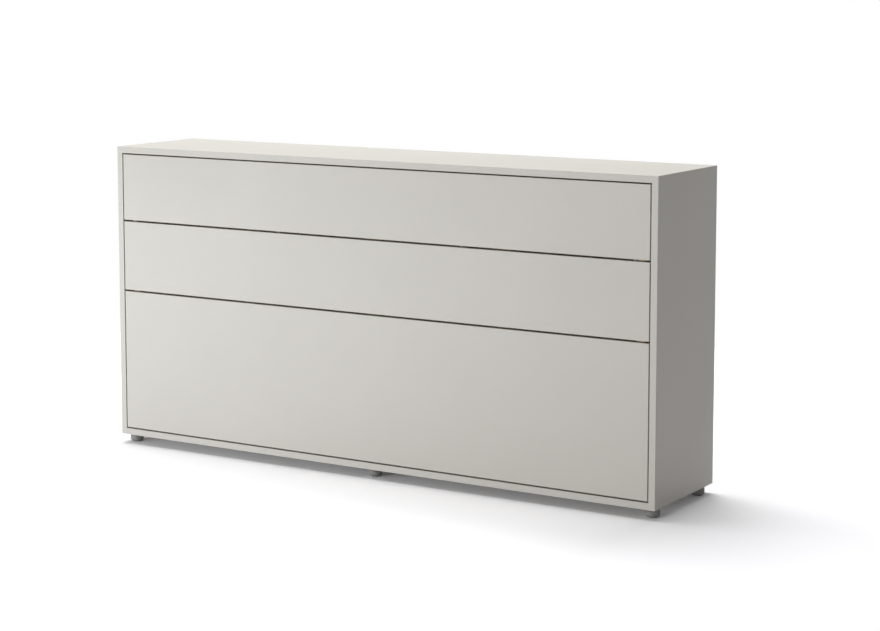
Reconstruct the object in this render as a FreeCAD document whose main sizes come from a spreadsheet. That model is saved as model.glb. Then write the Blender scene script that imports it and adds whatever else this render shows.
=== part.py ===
import FreeCAD, Part

import math
import os

import Sketcher

# A cabinet bed: a low mitred cabinet whose three-strip front is the underside
# of a lengthwise bed. The bed tilts down about a pivot near the floor, and the
# top strip folds out as its leg, kept upright by two side links.
#
# X runs along the front, Y into the cabinet, Z up from the floor. The origin is
# in the middle of the ground area. Places are given with the bed closed.

DOC = FreeCAD.newDocument("cabinet_bed")
SHEET = DOC.addObject("Spreadsheet::Sheet", "sizes")


class Size:
    """A formula over the sheet's cells, with the value it has now."""

    def __init__(self, text, value):
        self.text = text
        self.value = value

    def __add__(self, other):
        return Size(f"({self.text} + {formula(other)})", self.value + number(other))

    def __radd__(self, other):
        return Size(f"({formula(other)} + {self.text})", number(other) + self.value)

    def __sub__(self, other):
        return Size(f"({self.text} - {formula(other)})", self.value - number(other))

    def __rsub__(self, other):
        return Size(f"({formula(other)} - {self.text})", number(other) - self.value)

    def __mul__(self, other):
        return Size(f"({self.text} * {formula(other)})", self.value * number(other))

    def __rmul__(self, other):
        return Size(f"({formula(other)} * {self.text})", number(other) * self.value)

    def __truediv__(self, other):
        return Size(f"({self.text} / {formula(other)})", self.value / number(other))

    def __neg__(self):
        return Size(f"(0 - {self.text})", -self.value)


def formula(size):
    """The text that a size or a plain number has in an expression."""
    return size.text if isinstance(size, Size) else f"({size})"


def number(size):
    """The value that a size has now."""
    return size.value if isinstance(size, Size) else size


def cosine(angle):
    return Size(f"cos({formula(angle)} * 1deg)", math.cos(math.radians(number(angle))))


def arc_cosine(ratio):
    degrees = math.degrees(math.acos(number(ratio)))
    return Size(f"(acos({formula(ratio)}) / 1deg)", degrees)


def sine(angle):
    return Size(f"sin({formula(angle)} * 1deg)", math.sin(math.radians(number(angle))))


def cell(alias, value):
    """A driving dimension: a plain number in the next row of the sheet."""
    cell.row += 1
    address = f"B{cell.row}"
    SHEET.set(f"A{cell.row}", alias)
    SHEET.set(address, str(value))
    SHEET.setAlias(address, alias)
    return Size(f"sizes.{alias}", value)


cell.row = 0

# ---------------------------------------------------------------- the sheet

# Carcase
width = cell("width", 2100)
depth = cell("depth", 425)
carcase_height = cell("carcase_height", 1026)
board = cell("board", 22)
edge_round = cell("edge_round", 0.8)
back_sheet = cell("back_sheet", 4)
back_recess = cell("back_recess", 8)
groove_depth = cell("groove_depth", 8)
middle_sheet = cell("middle_sheet", 690)
sheet_joint = cell("sheet_joint", 2)
joint_flange = cell("joint_flange", 1)
joint_width = cell("joint_width", 20)
rail_height = cell("rail_height", 100)
rail_thick = cell("rail_thick", 22)
wall_hole = cell("wall_hole", 8)
wall_hole_pitch = cell("wall_hole_pitch", 600)
tongue_length = cell("tongue_length", 14)
tongue_thick = cell("tongue_thick", 4)
tongue_inset = cell("tongue_inset", 20)
dowel = cell("dowel", 8)
dowel_in_rail = cell("dowel_in_rail", 20)
dowel_in_side = cell("dowel_in_side", 14)
bracket_leg = cell("bracket_leg", 30)
bracket_width = cell("bracket_width", 30)
bracket_thick = cell("bracket_thick", 3)
bracket_place = cell("bracket_place", 75)
bracket_screw_out = cell("bracket_screw_out", 20)

# Stop blocks and catches
stop_width = cell("stop_width", 24)
stop_depth = cell("stop_depth", 36)
stop_height = cell("stop_height", 28)
stop_nose = cell("stop_nose", 6)
stop_clear = cell("stop_clear", 2)
stop_behind_link = cell("stop_behind_link", 3)
stop_screw_back = cell("stop_screw_back", 20)
stop_screw = cell("stop_screw", 34)
strike_thick = cell("strike_thick", 1.5)
strike_inset = cell("strike_inset", 1)
magnet_gap = cell("magnet_gap", 0.3)
magnet_inset = cell("magnet_inset", 2)
magnet_end = cell("magnet_end", 3)

# Feet
foot_height = cell("foot_height", 32)
foot_width = cell("foot_width", 47)
foot_round = cell("foot_round", 12)
foot_collar = cell("foot_collar", 10)
collar_in = cell("collar_in", 1)
foot_gap = cell("foot_gap", 1)
foot_side = cell("foot_side", 30)
foot_front = cell("foot_front", 48)
foot_back = cell("foot_back", 52)
spindle = cell("spindle", 10)
thread_play = cell("thread_play", 0.4)
spindle_reach = cell("spindle_reach", 18)
spindle_end = cell("spindle_end", 1)

# Front strips
panel = cell("panel", 18)
side_gap = cell("side_gap", 4)
top_gap = cell("top_gap", 4.5)
bottom_gap = cell("bottom_gap", 5)
strip_gap = cell("strip_gap", 6)
upper_strip = cell("upper_strip", 230.5)
middle_strip = cell("middle_strip", 242)

# Bed
mattress_length = cell("mattress_length", 2000)
mattress_width = cell("mattress_width", 900)
mattress_height = cell("mattress_height", 160)
mattress_drop = cell("mattress_drop", 31.5)
mattress_lift = cell("mattress_lift", 1)
mattress_round = cell("mattress_round", 25)
frame_play = cell("frame_play", 2)
frame_thick = cell("frame_thick", 38)
end_rail = cell("end_rail", 25)
long_rail = cell("long_rail", 40)
cross_rail = cell("cross_rail", 60)
rail_lift = cell("rail_lift", 3)
batten = cell("batten", 50)
batten_thick = cell("batten_thick", 20)
batten_inset = cell("batten_inset", 20)
batten_clear = cell("batten_clear", 15)
batten_screw = cell("batten_screw", 36)
batten_screw_side = cell("batten_screw_side", 18)
screw_sink = cell("screw_sink", 8)
slat_width = cell("slat_width", 60)
slat_thick = cell("slat_thick", 10)
slat_seat = cell("slat_seat", 4)
slat_inset = cell("slat_inset", 12)
holder_wall = cell("holder_wall", 3)
holder_grip = cell("holder_grip", 34)
holder_end = cell("holder_end", 4)
holder_open = cell("holder_open", 2)
strap_width = cell("strap_width", 50)
strap_thick = cell("strap_thick", 1.5)
strap_play = cell("strap_play", 1)
strap_hold_high = cell("strap_hold_high", 14)
strap_hold_low = cell("strap_hold_low", 2)
buckle_over = cell("buckle_over", 5)
buckle_thick = cell("buckle_thick", 4)
buckle_height = cell("buckle_height", 60)
buckle_drop = cell("buckle_drop", 200)

# Pivots, leg and links
pivot_back = cell("pivot_back", 30)
leg_pivot_drop = cell("leg_pivot_drop", 38.5)
glide = cell("glide", 4)
stud_to_link = cell("stud_to_link", 4.5)
link_up = cell("link_up", 22)
link_width = cell("link_width", 10)
link_thick = cell("link_thick", 3)
link_clear = cell("link_clear", 3.7)
journal = cell("journal", 12)
bush_wall = cell("bush_wall", 3)
bush_play = cell("bush_play", 0.15)
bush_reach = cell("bush_reach", 12)
pin = cell("pin", 8)
pin_play = cell("pin_play", 0.2)
link_pin = cell("link_pin", 6)
plate = cell("plate", 2.5)
hinge_plate = cell("hinge_plate", 3)
hinge_drop = cell("hinge_drop", 70)
axle_over = cell("axle_over", 0.4)
journal_short = cell("journal_short", 1)
pivot_plate = cell("pivot_plate", 5)
pivot_plate_inset = cell("pivot_plate_inset", 1)
pivot_plate_drop = cell("pivot_plate_drop", 40)
pivot_plate_rise = cell("pivot_plate_rise", 50)
pin_head = cell("pin_head", 0.9)

# Bearing plate, measured from the bed's pivot
bearing_front = cell("bearing_front", 18)
bearing_neck = cell("bearing_neck", 6)
bearing_heel = cell("bearing_heel", 44)
bearing_back = cell("bearing_back", 56)
bearing_drop = cell("bearing_drop", 22)
bearing_heel_rise = cell("bearing_heel_rise", 20)
bearing_neck_low = cell("bearing_neck_low", 30)
bearing_neck_high = cell("bearing_neck_high", 60)
bearing_rise = cell("bearing_rise", 144)
bearing_corner = cell("bearing_corner", 6)
bearing_screw_in = cell("bearing_screw_in", 10)
bearing_screw_down = cell("bearing_screw_down", 12)
bearing_screw_middle = cell("bearing_screw_middle", 44)

# Leg
leg_plate_clear = cell("leg_plate_clear", 2)
leg_plate_drop = cell("leg_plate_drop", 45)
leg_plate_trim = cell("leg_plate_trim", 1)
leg_flange_clear = cell("leg_flange_clear", 0.5)
leg_cap = cell("leg_cap", 1)
leg_screw = cell("leg_screw", 12)
leg_screw_side = cell("leg_screw_side", 7)
leg_screw_low = cell("leg_screw_low", 10)
leg_screw_high = cell("leg_screw_high", 24)
stiffener_thick = cell("stiffener_thick", 17)
stiffener_height = cell("stiffener_height", 30)
stiffener_lift = cell("stiffener_lift", 15)
stiffener_inset = cell("stiffener_inset", 40)
stiffener_screw = cell("stiffener_screw", 24)
glide_width = cell("glide_width", 12)

# Gas springs
rod_stud_lift = cell("rod_stud_lift", 20)
rod_stud_angle = cell("rod_stud_angle", -88)
tube_to_journal = cell("tube_to_journal", 2)
link_to_tube = cell("link_to_tube", 1.8)
tube_to_rail = cell("tube_to_rail", 1.5)
spring_tube = cell("spring_tube", 18)
spring_bore = cell("spring_bore", 15)
spring_rod = cell("spring_rod", 8)
spring_play = cell("spring_play", 0.4)
tube_start = cell("tube_start", 12)
tube_ends = cell("tube_ends", 15)
piston_length = cell("piston_length", 8)
eye_width = cell("eye_width", 16)
eye_thick = cell("eye_thick", 10)
eye_overlap = cell("eye_overlap", 4)
stem_in = cell("stem_in", 3)
tube_cap = cell("tube_cap", 3)
tube_gland = cell("tube_gland", 8)
piston_stop = cell("piston_stop", 10)
stud_in_rail = cell("stud_in_rail", 15)
stud_head = cell("stud_head", 1.2)
stud_head_wider = cell("stud_head_wider", 4)

# Screws
screw = cell("screw", 4)
screw_head = cell("screw_head", 8)
head_thick = cell("head_thick", 2)
short_screw = cell("short_screw", 14)
head_play = cell("head_play", 0.3)
drill_over = cell("drill_over", 1)

DOC.recompute()

# ------------------------------------------------------------ derived places

LEFT = -1
RIGHT = 1
SIDES = {"left": LEFT, "right": RIGHT}
ZERO = Size("0", 0)
MITRE = 45
SLATS = 14
DOWEL_SHARES = (0.25, 0.75)
GLIDE_SHARES = (-0.95, -0.35, 0.35, 0.95)
WALL_HOLE_STEPS = (-1.5, -0.5, 0.5, 1.5)

outer_x = width / 2
inner_x = outer_x - board
front_y = -depth / 2
back_y = depth / 2
base_z = foot_height
floor_z = base_z + board
top_z = base_z + carcase_height
ceiling_z = top_z - board

sheet_back_y = back_y - back_recess
sheet_front_y = sheet_back_y - back_sheet
rail_front_y = sheet_front_y - rail_thick

panel_half = inner_x - side_gap
panel_back_y = front_y + panel
upper_top_z = ceiling_z - top_gap
upper_low_z = upper_top_z - upper_strip
middle_top_z = upper_low_z - strip_gap
middle_low_z = middle_top_z - middle_strip
lower_top_z = middle_low_z - strip_gap
lower_low_z = floor_z + bottom_gap

# The leg reaches the floor when the bed is level, which sets the pivot's height.
pivot_y = front_y + pivot_back
pivot_z = upper_strip - leg_pivot_drop + glide
leg_pivot_z = upper_top_z - leg_pivot_drop
link_low_z = pivot_z + link_up
link_high_z = leg_pivot_z + link_up
link_outer_x = inner_x - link_clear
link_inner_x = link_outer_x - link_thick
leg_plate_outer_x = link_inner_x - leg_plate_clear
leg_plate_inner_x = leg_plate_outer_x - hinge_plate

spring_place = link_clear + link_thick + link_to_tube + spring_tube / 2
frame_half = inner_x - (spring_place + spring_tube / 2 + tube_to_rail)
frame_front_y = panel_back_y + frame_play
frame_back_y = frame_front_y + frame_thick
mattress_top_z = upper_top_z - mattress_drop
mattress_low_z = mattress_top_z - mattress_width
upper_rail_top_z = leg_pivot_z
upper_rail_low_z = upper_rail_top_z - long_rail
lower_rail_low_z = lower_low_z + rail_lift
lower_rail_top_z = lower_rail_low_z + long_rail
cross_front_y = panel_back_y + batten_thick
slat_front_y = frame_back_y + slat_seat
slat_back_y = slat_front_y + slat_thick
mattress_front_y = slat_back_y + mattress_lift
mattress_back_y = mattress_front_y + mattress_height
slat_low_z = lower_rail_low_z + slat_inset
slat_high_z = upper_rail_top_z - slat_inset

# Both spring studs lie on one circle round the pivot, so the spring turns half
# as far as the bed.
spring_arm = pivot_z - floor_z - rod_stud_lift
spring_offset = spring_tube / 2 + journal / 2 + tube_to_journal
spring_spread = 2 * arc_cosine(spring_offset / spring_arm)
cabinet_stud_angle = rod_stud_angle + spring_spread
rod_stud_y = pivot_y + spring_arm * cosine(rod_stud_angle)
rod_stud_z = pivot_z + spring_arm * sine(rod_stud_angle)
spring_stud_y = pivot_y + spring_arm * cosine(cabinet_stud_angle)
spring_stud_z = pivot_z + spring_arm * sine(cabinet_stud_angle)
link_y = spring_stud_y - (pin / 2 + stud_to_link + link_width / 2)
spring_lean = (rod_stud_angle + cabinet_stud_angle) / 2
spring_length = 2 * spring_arm * sine(spring_spread / 2)
spring_stroke = spring_length - 2 * spring_arm * sine(spring_spread / 2 - 45)
tube_length = spring_stroke + piston_length + tube_ends
spring_x = inner_x - spring_place

PARTS = []


# ------------------------------------------------------------ shape helpers


def bind(item, name, size):
    """Ties a property of an object to its size."""
    item.setExpression(name, formula(size))


def put(item, x, y, z):
    """Ties an object's place to three sizes."""
    bind(item, "Placement.Base.x", x)
    bind(item, "Placement.Base.y", y)
    bind(item, "Placement.Base.z", z)


def part(item, label):
    """Gives a finished sub-part its name."""
    item.Label = label
    PARTS.append(item)
    return item


def block(x, y, z):
    """A block between a low and a high place on each axis."""
    item = DOC.addObject("Part::Box", "block")
    bind(item, "Length", x[1] - x[0])
    bind(item, "Width", y[1] - y[0])
    bind(item, "Height", z[1] - z[0])
    put(item, x[0], y[0], z[0])
    return item


def side_span(side, near, far):
    """The low and high X of what lies between two distances from the middle."""
    return (near, far) if side == RIGHT else (-far, -near)


TURNS = {
    "X": FreeCAD.Rotation(FreeCAD.Vector(0, 1, 0), 90),
    "Y": FreeCAD.Rotation(FreeCAD.Vector(1, 0, 0), -90),
    "Z": FreeCAD.Rotation(),
}


def rod(axis, x, y, z, diameter):
    """A round rod along one axis, whose place on that axis is a low and a high."""
    place = {"X": x, "Y": y, "Z": z}
    low, high = place[axis]
    place[axis] = low
    item = DOC.addObject("Part::Cylinder", "rod")
    item.Placement = FreeCAD.Placement(FreeCAD.Vector(), TURNS[axis])
    bind(item, "Radius", diameter / 2)
    bind(item, "Height", high - low)
    put(item, place["X"], place["Y"], place["Z"])
    return item


def fuse(*items):
    item = DOC.addObject("Part::MultiFuse", "joined")
    item.Shapes = list(items)
    item.Refine = True
    return item


def group(*items):
    """Separate pieces kept together, such as a set of like fasteners."""
    item = DOC.addObject("Part::Compound", "set")
    item.Links = list(items)
    return item


def cut(base, *tools):
    item = DOC.addObject("Part::Cut", "cut")
    item.Base = base
    item.Tool = tools[0] if len(tools) == 1 else group(*tools)
    return item


def new_body(name):
    return DOC.addObject("PartDesign::Body", name)


def new_sketch(body, role):
    sketch = body.newObject("Sketcher::SketchObject", "outline")
    planes = body.Origin.OriginFeatures
    sketch.AttachmentSupport = [(next(p for p in planes if p.Role == role), "")]
    sketch.MapMode = "FlatFace"
    return sketch


def fix_point(sketch, line, point):
    """Ties the start of a line to its two distances from the origin."""
    for kind, size in zip(("DistanceX", "DistanceY"), point):
        value = number(size)
        rule = sketch.addConstraint(Sketcher.Constraint(kind, -1, 1, line, 1, value))
        if isinstance(size, Size):
            bind(sketch, f"Constraints[{rule}]", size)


def outline(body, role, points):
    """A closed straight-sided sketch on one of the body's own planes."""
    sketch = new_sketch(body, role)
    places = [FreeCAD.Vector(number(a), number(b), 0) for a, b in points]
    count = len(points)
    for line in range(count):
        following = places[(line + 1) % count]
        sketch.addGeometry(Part.LineSegment(places[line], following), False)
    for line in range(count):
        joint = Sketcher.Constraint("Coincident", line, 2, (line + 1) % count, 1)
        sketch.addConstraint(joint)
    for line, point in enumerate(points):
        fix_point(sketch, line, point)
    return sketch


def pad(body, sketch, length, reverse=False):
    item = body.newObject("PartDesign::Pad", "pad")
    item.Profile = sketch
    item.Reversed = reverse
    bind(item, "Length", length)
    return item


def revolve(body, sketch, axis):
    item = body.newObject("PartDesign::Revolution", "turned")
    item.Profile = sketch
    item.ReferenceAxis = (sketch, [axis])
    item.Angle = 360
    return item


def edges(shape, wanted):
    """Names of the edges that a test picks."""
    numbered = enumerate(shape.Edges, start=1)
    return [f"Edge{index}" for index, edge in numbered if wanted(edge)]


def along(direction):
    """A test for straight edges along one axis."""
    def wanted(edge):
        if not isinstance(edge.Curve, Part.Line):
            return False
        return abs(edge.Curve.Direction.dot(direction)) > 0.999
    return wanted


def fillet(body, base, radius, wanted):
    """Rounds the edges of a feature that a test picks."""
    DOC.recompute()
    item = body.newObject("PartDesign::Fillet", "rounded")
    item.Base = (base, edges(base.Shape, wanted))
    bind(item, "Radius", radius)
    return item


def plate_body(name, x, points, corner=None):
    """A flat plate square to X, from its outline in Y and Z."""
    body = new_body(name)
    sketch = outline(body, "YZ_Plane", points)
    blank = pad(body, sketch, x[1] - x[0])
    if corner is not None:
        fillet(body, blank, corner, along(FreeCAD.Vector(1, 0, 0)))
    bind(body, "Placement.Base.x", x[0])
    return body


def screw_along_x(side, head_x, y, z, length):
    """A countersunk-size screw driven outwards from its head's inner face."""
    head = rod("X", side_span(side, head_x, head_x + head_thick), y, z, screw_head)
    shank_end = head_x + head_thick + length
    shank = rod("X", side_span(side, head_x + head_thick, shank_end), y, z, screw)
    return fuse(head, shank)


def screw_along_y(x, head_y, z, length, toward):
    """A screw driven along Y, toward the front (-1) or the back (1)."""
    neck = head_y + toward * head_thick
    end = neck + toward * length
    head = rod("Y", x, (head_y, neck) if toward > 0 else (neck, head_y), z, screw_head)
    shank = rod("Y", x, (neck, end) if toward > 0 else (end, neck), z, screw)
    return fuse(head, shank)


# ------------------------------------------------- pieces let into the cabinet


def make_tongues():
    """A loose tongue across each mitre, set square to the joint."""
    tongues = []
    for side in (LEFT, RIGHT):
        for joint_z, lean in ((base_z + board / 2, MITRE), (top_z - board / 2, -MITRE)):
            body = new_body("tongue")
            half = tongue_length / 2
            thin = tongue_thick / 2
            points = [(-half, -thin), (half, -thin), (half, thin), (-half, thin)]
            sketch = outline(body, "XZ_Plane", points)
            pad(body, sketch, depth - 2 * tongue_inset - back_recess, True)
            turn = FreeCAD.Rotation(FreeCAD.Vector(0, 1, 0), -side * lean)
            body.Placement = FreeCAD.Placement(FreeCAD.Vector(), turn)
            put(body, side * (outer_x - board / 2), front_y + tongue_inset, joint_z)
            tongues.append(body)
    return tongues


def make_rail_dowels():
    dowels = []
    for side in (LEFT, RIGHT):
        for low in (floor_z, ceiling_z - rail_height):
            for share in DOWEL_SHARES:
                span = side_span(side, inner_x - dowel_in_rail, inner_x + dowel_in_side)
                y = rail_front_y + rail_thick / 2
                dowels.append(rod("X", span, y, low + rail_height * share, dowel))
    return dowels


def bearing_screw_places():
    """Where the bearing plate is screwed on, as Y and Z."""
    back = pivot_y + bearing_back - bearing_screw_in
    high = pivot_z + bearing_rise - bearing_screw_down
    low = pivot_z - bearing_drop + bearing_screw_in
    return (
        (pivot_y + bearing_heel - bearing_screw_in, low),
        (back, pivot_z + bearing_screw_middle),
        (back, high),
        (pivot_y - bearing_neck + bearing_screw_in, high),
    )


def bearing_outline():
    """A plate that takes in the pivot, the link's pin and the spring's stud."""
    return [
        (pivot_y - bearing_front, pivot_z - bearing_drop),
        (pivot_y + bearing_heel, pivot_z - bearing_drop),
        (pivot_y + bearing_back, pivot_z + bearing_heel_rise),
        (pivot_y + bearing_back, pivot_z + bearing_rise),
        (pivot_y - bearing_neck, pivot_z + bearing_rise),
        (pivot_y - bearing_neck, pivot_z + bearing_neck_high),
        (pivot_y - bearing_front, pivot_z + bearing_neck_low),
    ]


def bracket_places():
    """Height of each corner bracket's outer face and which way it points."""
    return ((floor_z, 1), (ceiling_z, -1))


def make_corner_brackets():
    brackets = []
    screws = []
    y = (rail_front_y - bracket_place, rail_front_y - bracket_place + bracket_width)
    middle = rail_front_y - bracket_place + bracket_width / 2
    for side in (LEFT, RIGHT):
        for face, way in bracket_places():
            flat = sorted_span(face, face + way * bracket_thick)
            tall = sorted_span(face, face + way * bracket_leg)
            long_leg = block(side_span(side, inner_x - bracket_leg, inner_x), y, flat)
            up_leg = block(side_span(side, inner_x - bracket_thick, inner_x), y, tall)
            across = inner_x - bracket_thick - head_thick
            side_z = face + way * bracket_screw_out
            side_screw = screw_along_x(side, across, middle, side_z, short_screw)
            head = face + way * (bracket_thick + head_thick)
            board_x = side * (inner_x - bracket_screw_out)
            board_screw = screw_along_z(board_x, middle, head, -way)
            angle = fuse(long_leg, up_leg)
            brackets.append(cut(angle, side_screw, board_screw))
            screws += [side_screw, board_screw]
    return brackets, screws


def sorted_span(first, second):
    """Two places as a low and a high."""
    return (first, second) if number(first) < number(second) else (second, first)


def screw_along_z(x, y, head_z, way):
    """A short screw driven up (1) or down (-1) into the top or bottom board."""
    neck = head_z + way * head_thick
    end = neck + way * short_screw
    head = rod("Z", x, y, sorted_span(head_z, neck), screw_head)
    shank = rod("Z", x, y, sorted_span(neck, end), screw)
    return fuse(head, shank)


def make_feet():
    """The six levelling feet, their collars and the bores that they turn in."""
    places = {
        "front_left": (foot_side - outer_x, front_y + foot_front),
        "front_middle": (ZERO, front_y + foot_front),
        "front_right": (outer_x - foot_side, front_y + foot_front),
        "back_left": (foot_side - outer_x, back_y - foot_back),
        "back_middle": (ZERO, back_y - foot_back),
        "back_right": (outer_x - foot_side, back_y - foot_back),
    }
    collars = []
    bores = []
    for name, (x, y) in places.items():
        foot = new_body("foot")
        radius = foot_width / 2
        pad_top = foot_height - foot_collar - foot_gap
        top = foot_height + spindle_reach
        points = [
            (ZERO, ZERO),
            (radius, ZERO),
            (radius, pad_top),
            (spindle / 2, pad_top),
            (spindle / 2, top),
            (ZERO, top),
        ]
        blank = revolve(foot, outline(foot, "XZ_Plane", points), "V_Axis")
        fillet(foot, blank, foot_round, lambda edge: edge.BoundBox.ZMax < 0.01)
        put(foot, x, y, ZERO)
        part(foot, f"foot_{name}")
        hole = spindle + 2 * thread_play
        collar_span = (base_z - foot_collar, base_z)
        ring = rod("Z", x, y, collar_span, foot_width - collar_in)
        collars.append(cut(ring, rod("Z", x, y, collar_span, hole)))
        bore_z = (base_z, base_z + spindle_reach + spindle_end)
        bores.append(rod("Z", x, y, bore_z, hole))
    return collars, bores


def make_stop_blocks():
    """Blocks behind the middle strip that the closing bed comes to rest on.

    The nose passes beside the link, which swings forward of the block's base.
    """
    blocks = []
    magnets = []
    strikes = []
    screws = []
    low = middle_low_z + middle_strip / 2
    z = (low, low + stop_height)
    inner_z = (low + magnet_end, low + stop_height - magnet_end)
    screw_z = low + stop_height / 2
    near = inner_x - stop_width
    far = link_inner_x - stop_clear
    nose_y = panel_back_y + stop_nose
    base_y = link_y + link_width / 2 + stop_behind_link
    strike_back_y = panel_back_y + strike_thick
    for side in (LEFT, RIGHT):
        base = block(side_span(side, near, inner_x), (base_y, base_y + stop_depth), z)
        nose = block(side_span(side, near, far), (nose_y, base_y), z)
        screw_y = base_y + stop_screw_back
        fixing = screw_along_x(side, near, screw_y, screw_z, stop_screw)
        magnet_x = side_span(side, near + magnet_inset, far - magnet_inset)
        magnet = block(magnet_x, (strike_back_y + magnet_gap, nose_y), inner_z)
        strike_x = side_span(side, near + strike_inset, far - strike_inset)
        strike = block(strike_x, (panel_back_y, strike_back_y), inner_z)
        blocks.append(cut(fuse(base, nose), fixing))
        magnets.append(magnet)
        strikes.append(strike)
        screws.append(fixing)
    return blocks, magnets, strikes, screws


# -------------------------------------------------------------- the cabinet


def mitred_side(side):
    """The side board's blank, with a mitre at both ends."""
    body = new_body("side_board")
    points = [
        (side * inner_x, floor_z),
        (side * outer_x, base_z),
        (side * outer_x, top_z),
        (side * inner_x, ceiling_z),
    ]
    blank = pad(body, outline(body, "XZ_Plane", points), depth, True)
    corner = number(outer_x)
    fillet(body, blank, edge_round, lambda e: is_long_front_edge(e, corner))
    bind(body, "Placement.Base.y", front_y)
    return body


def is_long_front_edge(edge, corner_x):
    """Picks the upright outer edges of a side board."""
    upright = along(FreeCAD.Vector(0, 0, 1))(edge)
    return upright and abs(abs(edge.CenterOfMass.x) - corner_x) < 0.01


def mitred_level(low_z, high_z, inside_is_low):
    """The top or bottom board's blank, with a mitre at both ends."""
    body = new_body("level_board")
    low_x = inner_x if inside_is_low else outer_x
    high_x = outer_x if inside_is_low else inner_x
    points = [(-low_x, low_z), (low_x, low_z), (high_x, high_z), (-high_x, high_z)]
    blank = pad(body, outline(body, "XZ_Plane", points), depth, True)
    outside = number(high_z if inside_is_low else low_z)

    def outer_edge(edge):
        level = along(FreeCAD.Vector(1, 0, 0))(edge)
        return level and abs(edge.CenterOfMass.z - outside) < 0.01

    fillet(body, blank, edge_round, outer_edge)
    bind(body, "Placement.Base.y", front_y)
    return body


def back_sheets():
    """Three thin sheets in the grooves, with wall holes where the rail has them."""
    z = (floor_z - groove_depth, ceiling_z + groove_depth)
    y = (sheet_front_y, sheet_back_y)
    half = middle_sheet / 2
    near = half + sheet_joint
    far = inner_x + groove_depth
    holes = wall_holes()
    part(cut(block((-far, -near), y, z), holes[0]), "back_panel_left")
    part(cut(block((-half, half), y, z), holes[1], holes[2]), "back_panel_middle")
    part(cut(block((near, far), y, z), holes[3]), "back_panel_right")


def wall_holes():
    """Through holes for wall screws, in one row along the rail."""
    z = ceiling_z - rail_height / 2
    y = (rail_front_y - drill_over, sheet_back_y + drill_over)
    return [rod("Y", wall_hole_pitch * s, y, z, wall_hole) for s in WALL_HOLE_STEPS]


def back_joints():
    """Profiles of an H section that hold the sheets edge to edge."""
    profiles = []
    z = (floor_z + rail_height, ceiling_z - rail_height)
    for side in (LEFT, RIGHT):
        middle = side * (middle_sheet / 2 + sheet_joint / 2)
        x = (middle - joint_width / 2, middle + joint_width / 2)
        web = (middle - sheet_joint / 2, middle + sheet_joint / 2)
        front = block(x, (sheet_front_y - joint_flange, sheet_front_y), z)
        back = block(x, (sheet_back_y, sheet_back_y + joint_flange), z)
        profiles.append(fuse(front, back, block(web, (sheet_front_y, sheet_back_y), z)))
    return group(*profiles)


def make_cabinet():
    tongues = make_tongues()
    dowels = make_rail_dowels()
    collars, foot_bores = make_feet()
    brackets, bracket_screws = make_corner_brackets()
    blocks, magnets, strikes, block_screws = make_stop_blocks()

    groove_span = (sheet_front_y, sheet_back_y)
    groove_z = (floor_z - groove_depth, ceiling_z + groove_depth)
    groove_half = inner_x + groove_depth
    plates = []
    bushes = []
    pins = []
    studs = []
    plate_screws = []
    for name, side in SIDES.items():
        outer_plate = side_span(side, inner_x - plate, inner_x)
        bush_x = side_span(side, inner_x - plate, inner_x + bush_reach)
        bush_outside = rod("X", bush_x, pivot_y, pivot_z, journal + 2 * bush_wall)
        bush_inside = rod("X", bush_x, pivot_y, pivot_z, journal + 2 * bush_play)
        bushes.append(cut(bush_outside, bush_inside))
        pins.append(link_pin_on_cabinet(side))
        studs.append(spring_stud(side))
        screws = []
        for y, z in bearing_screw_places():
            screws.append(screw_along_x(side, inner_x - plate, y, z, short_screw))
        metal = plate_body("bearing", outer_plate, bearing_outline(), bearing_corner)
        tools = [bush_outside, pins[-1], studs[-1]] + screws
        plates.append(cut(metal, *tools))
        plate_screws += screws

        groove = block(side_span(side, inner_x, groove_half), groove_span, groove_z)
        at_side = [item for item in tongues + dowels + bracket_screws + block_screws
                   if on_side(item, side)]
        blank = mitred_side(side)
        part(cut(blank, groove, bush_outside, pins[-1], studs[-1], *screws, *at_side),
             f"side_panel_{name}")

    groove_x = (-groove_half, groove_half)
    top_groove = block(groove_x, groove_span, (ceiling_z, ceiling_z + groove_depth))
    low_groove = block(groove_x, groove_span, (floor_z - groove_depth, floor_z))
    top_blank = mitred_level(ceiling_z, top_z, True)
    low_blank = mitred_level(base_z, floor_z, False)
    high = [item for item in tongues + bracket_screws if is_high(item)]
    low = [item for item in tongues + bracket_screws if not is_high(item)]
    part(cut(top_blank, top_groove, *high), "top_panel")
    part(cut(low_blank, low_groove, *low, *foot_bores), "bottom_panel")

    back_sheets()
    part(back_joints(), "back_joint_profiles")
    rail_x = (-inner_x, inner_x)
    rail_y = (rail_front_y, sheet_front_y)
    upper_rail = block(rail_x, rail_y, (ceiling_z - rail_height, ceiling_z))
    lower_rail = block(rail_x, rail_y, (floor_z, floor_z + rail_height))
    part(cut(upper_rail, *dowels, *wall_holes()), "wall_rail")
    part(cut(lower_rail, *dowels), "lower_rear_rail")
    part(group(*tongues), "mitre_tongues")
    part(group(*dowels), "rail_dowels")
    part(group(*brackets), "corner_brackets")
    part(group(*bracket_screws), "bracket_screws")
    part(group(*collars), "foot_collars")
    part(group(*plates), "bearing_plates")
    part(group(*bushes), "bearing_bushes")
    part(group(*pins), "link_pivot_pins")
    part(group(*studs), "spring_studs")
    part(group(*plate_screws, *block_screws), "fitting_screws")
    part(group(*blocks), "stop_blocks")
    part(group(*magnets), "catch_magnets")
    return strikes


def on_side(item, side):
    """Whether an item lies on one side of the cabinet."""
    DOC.recompute()
    return item.Shape.BoundBox.Center.x * side > 0


def is_high(item):
    """Whether an item lies in the cabinet's upper half."""
    return item.Shape.BoundBox.Center.z > number((base_z + top_z) / 2)


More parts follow.
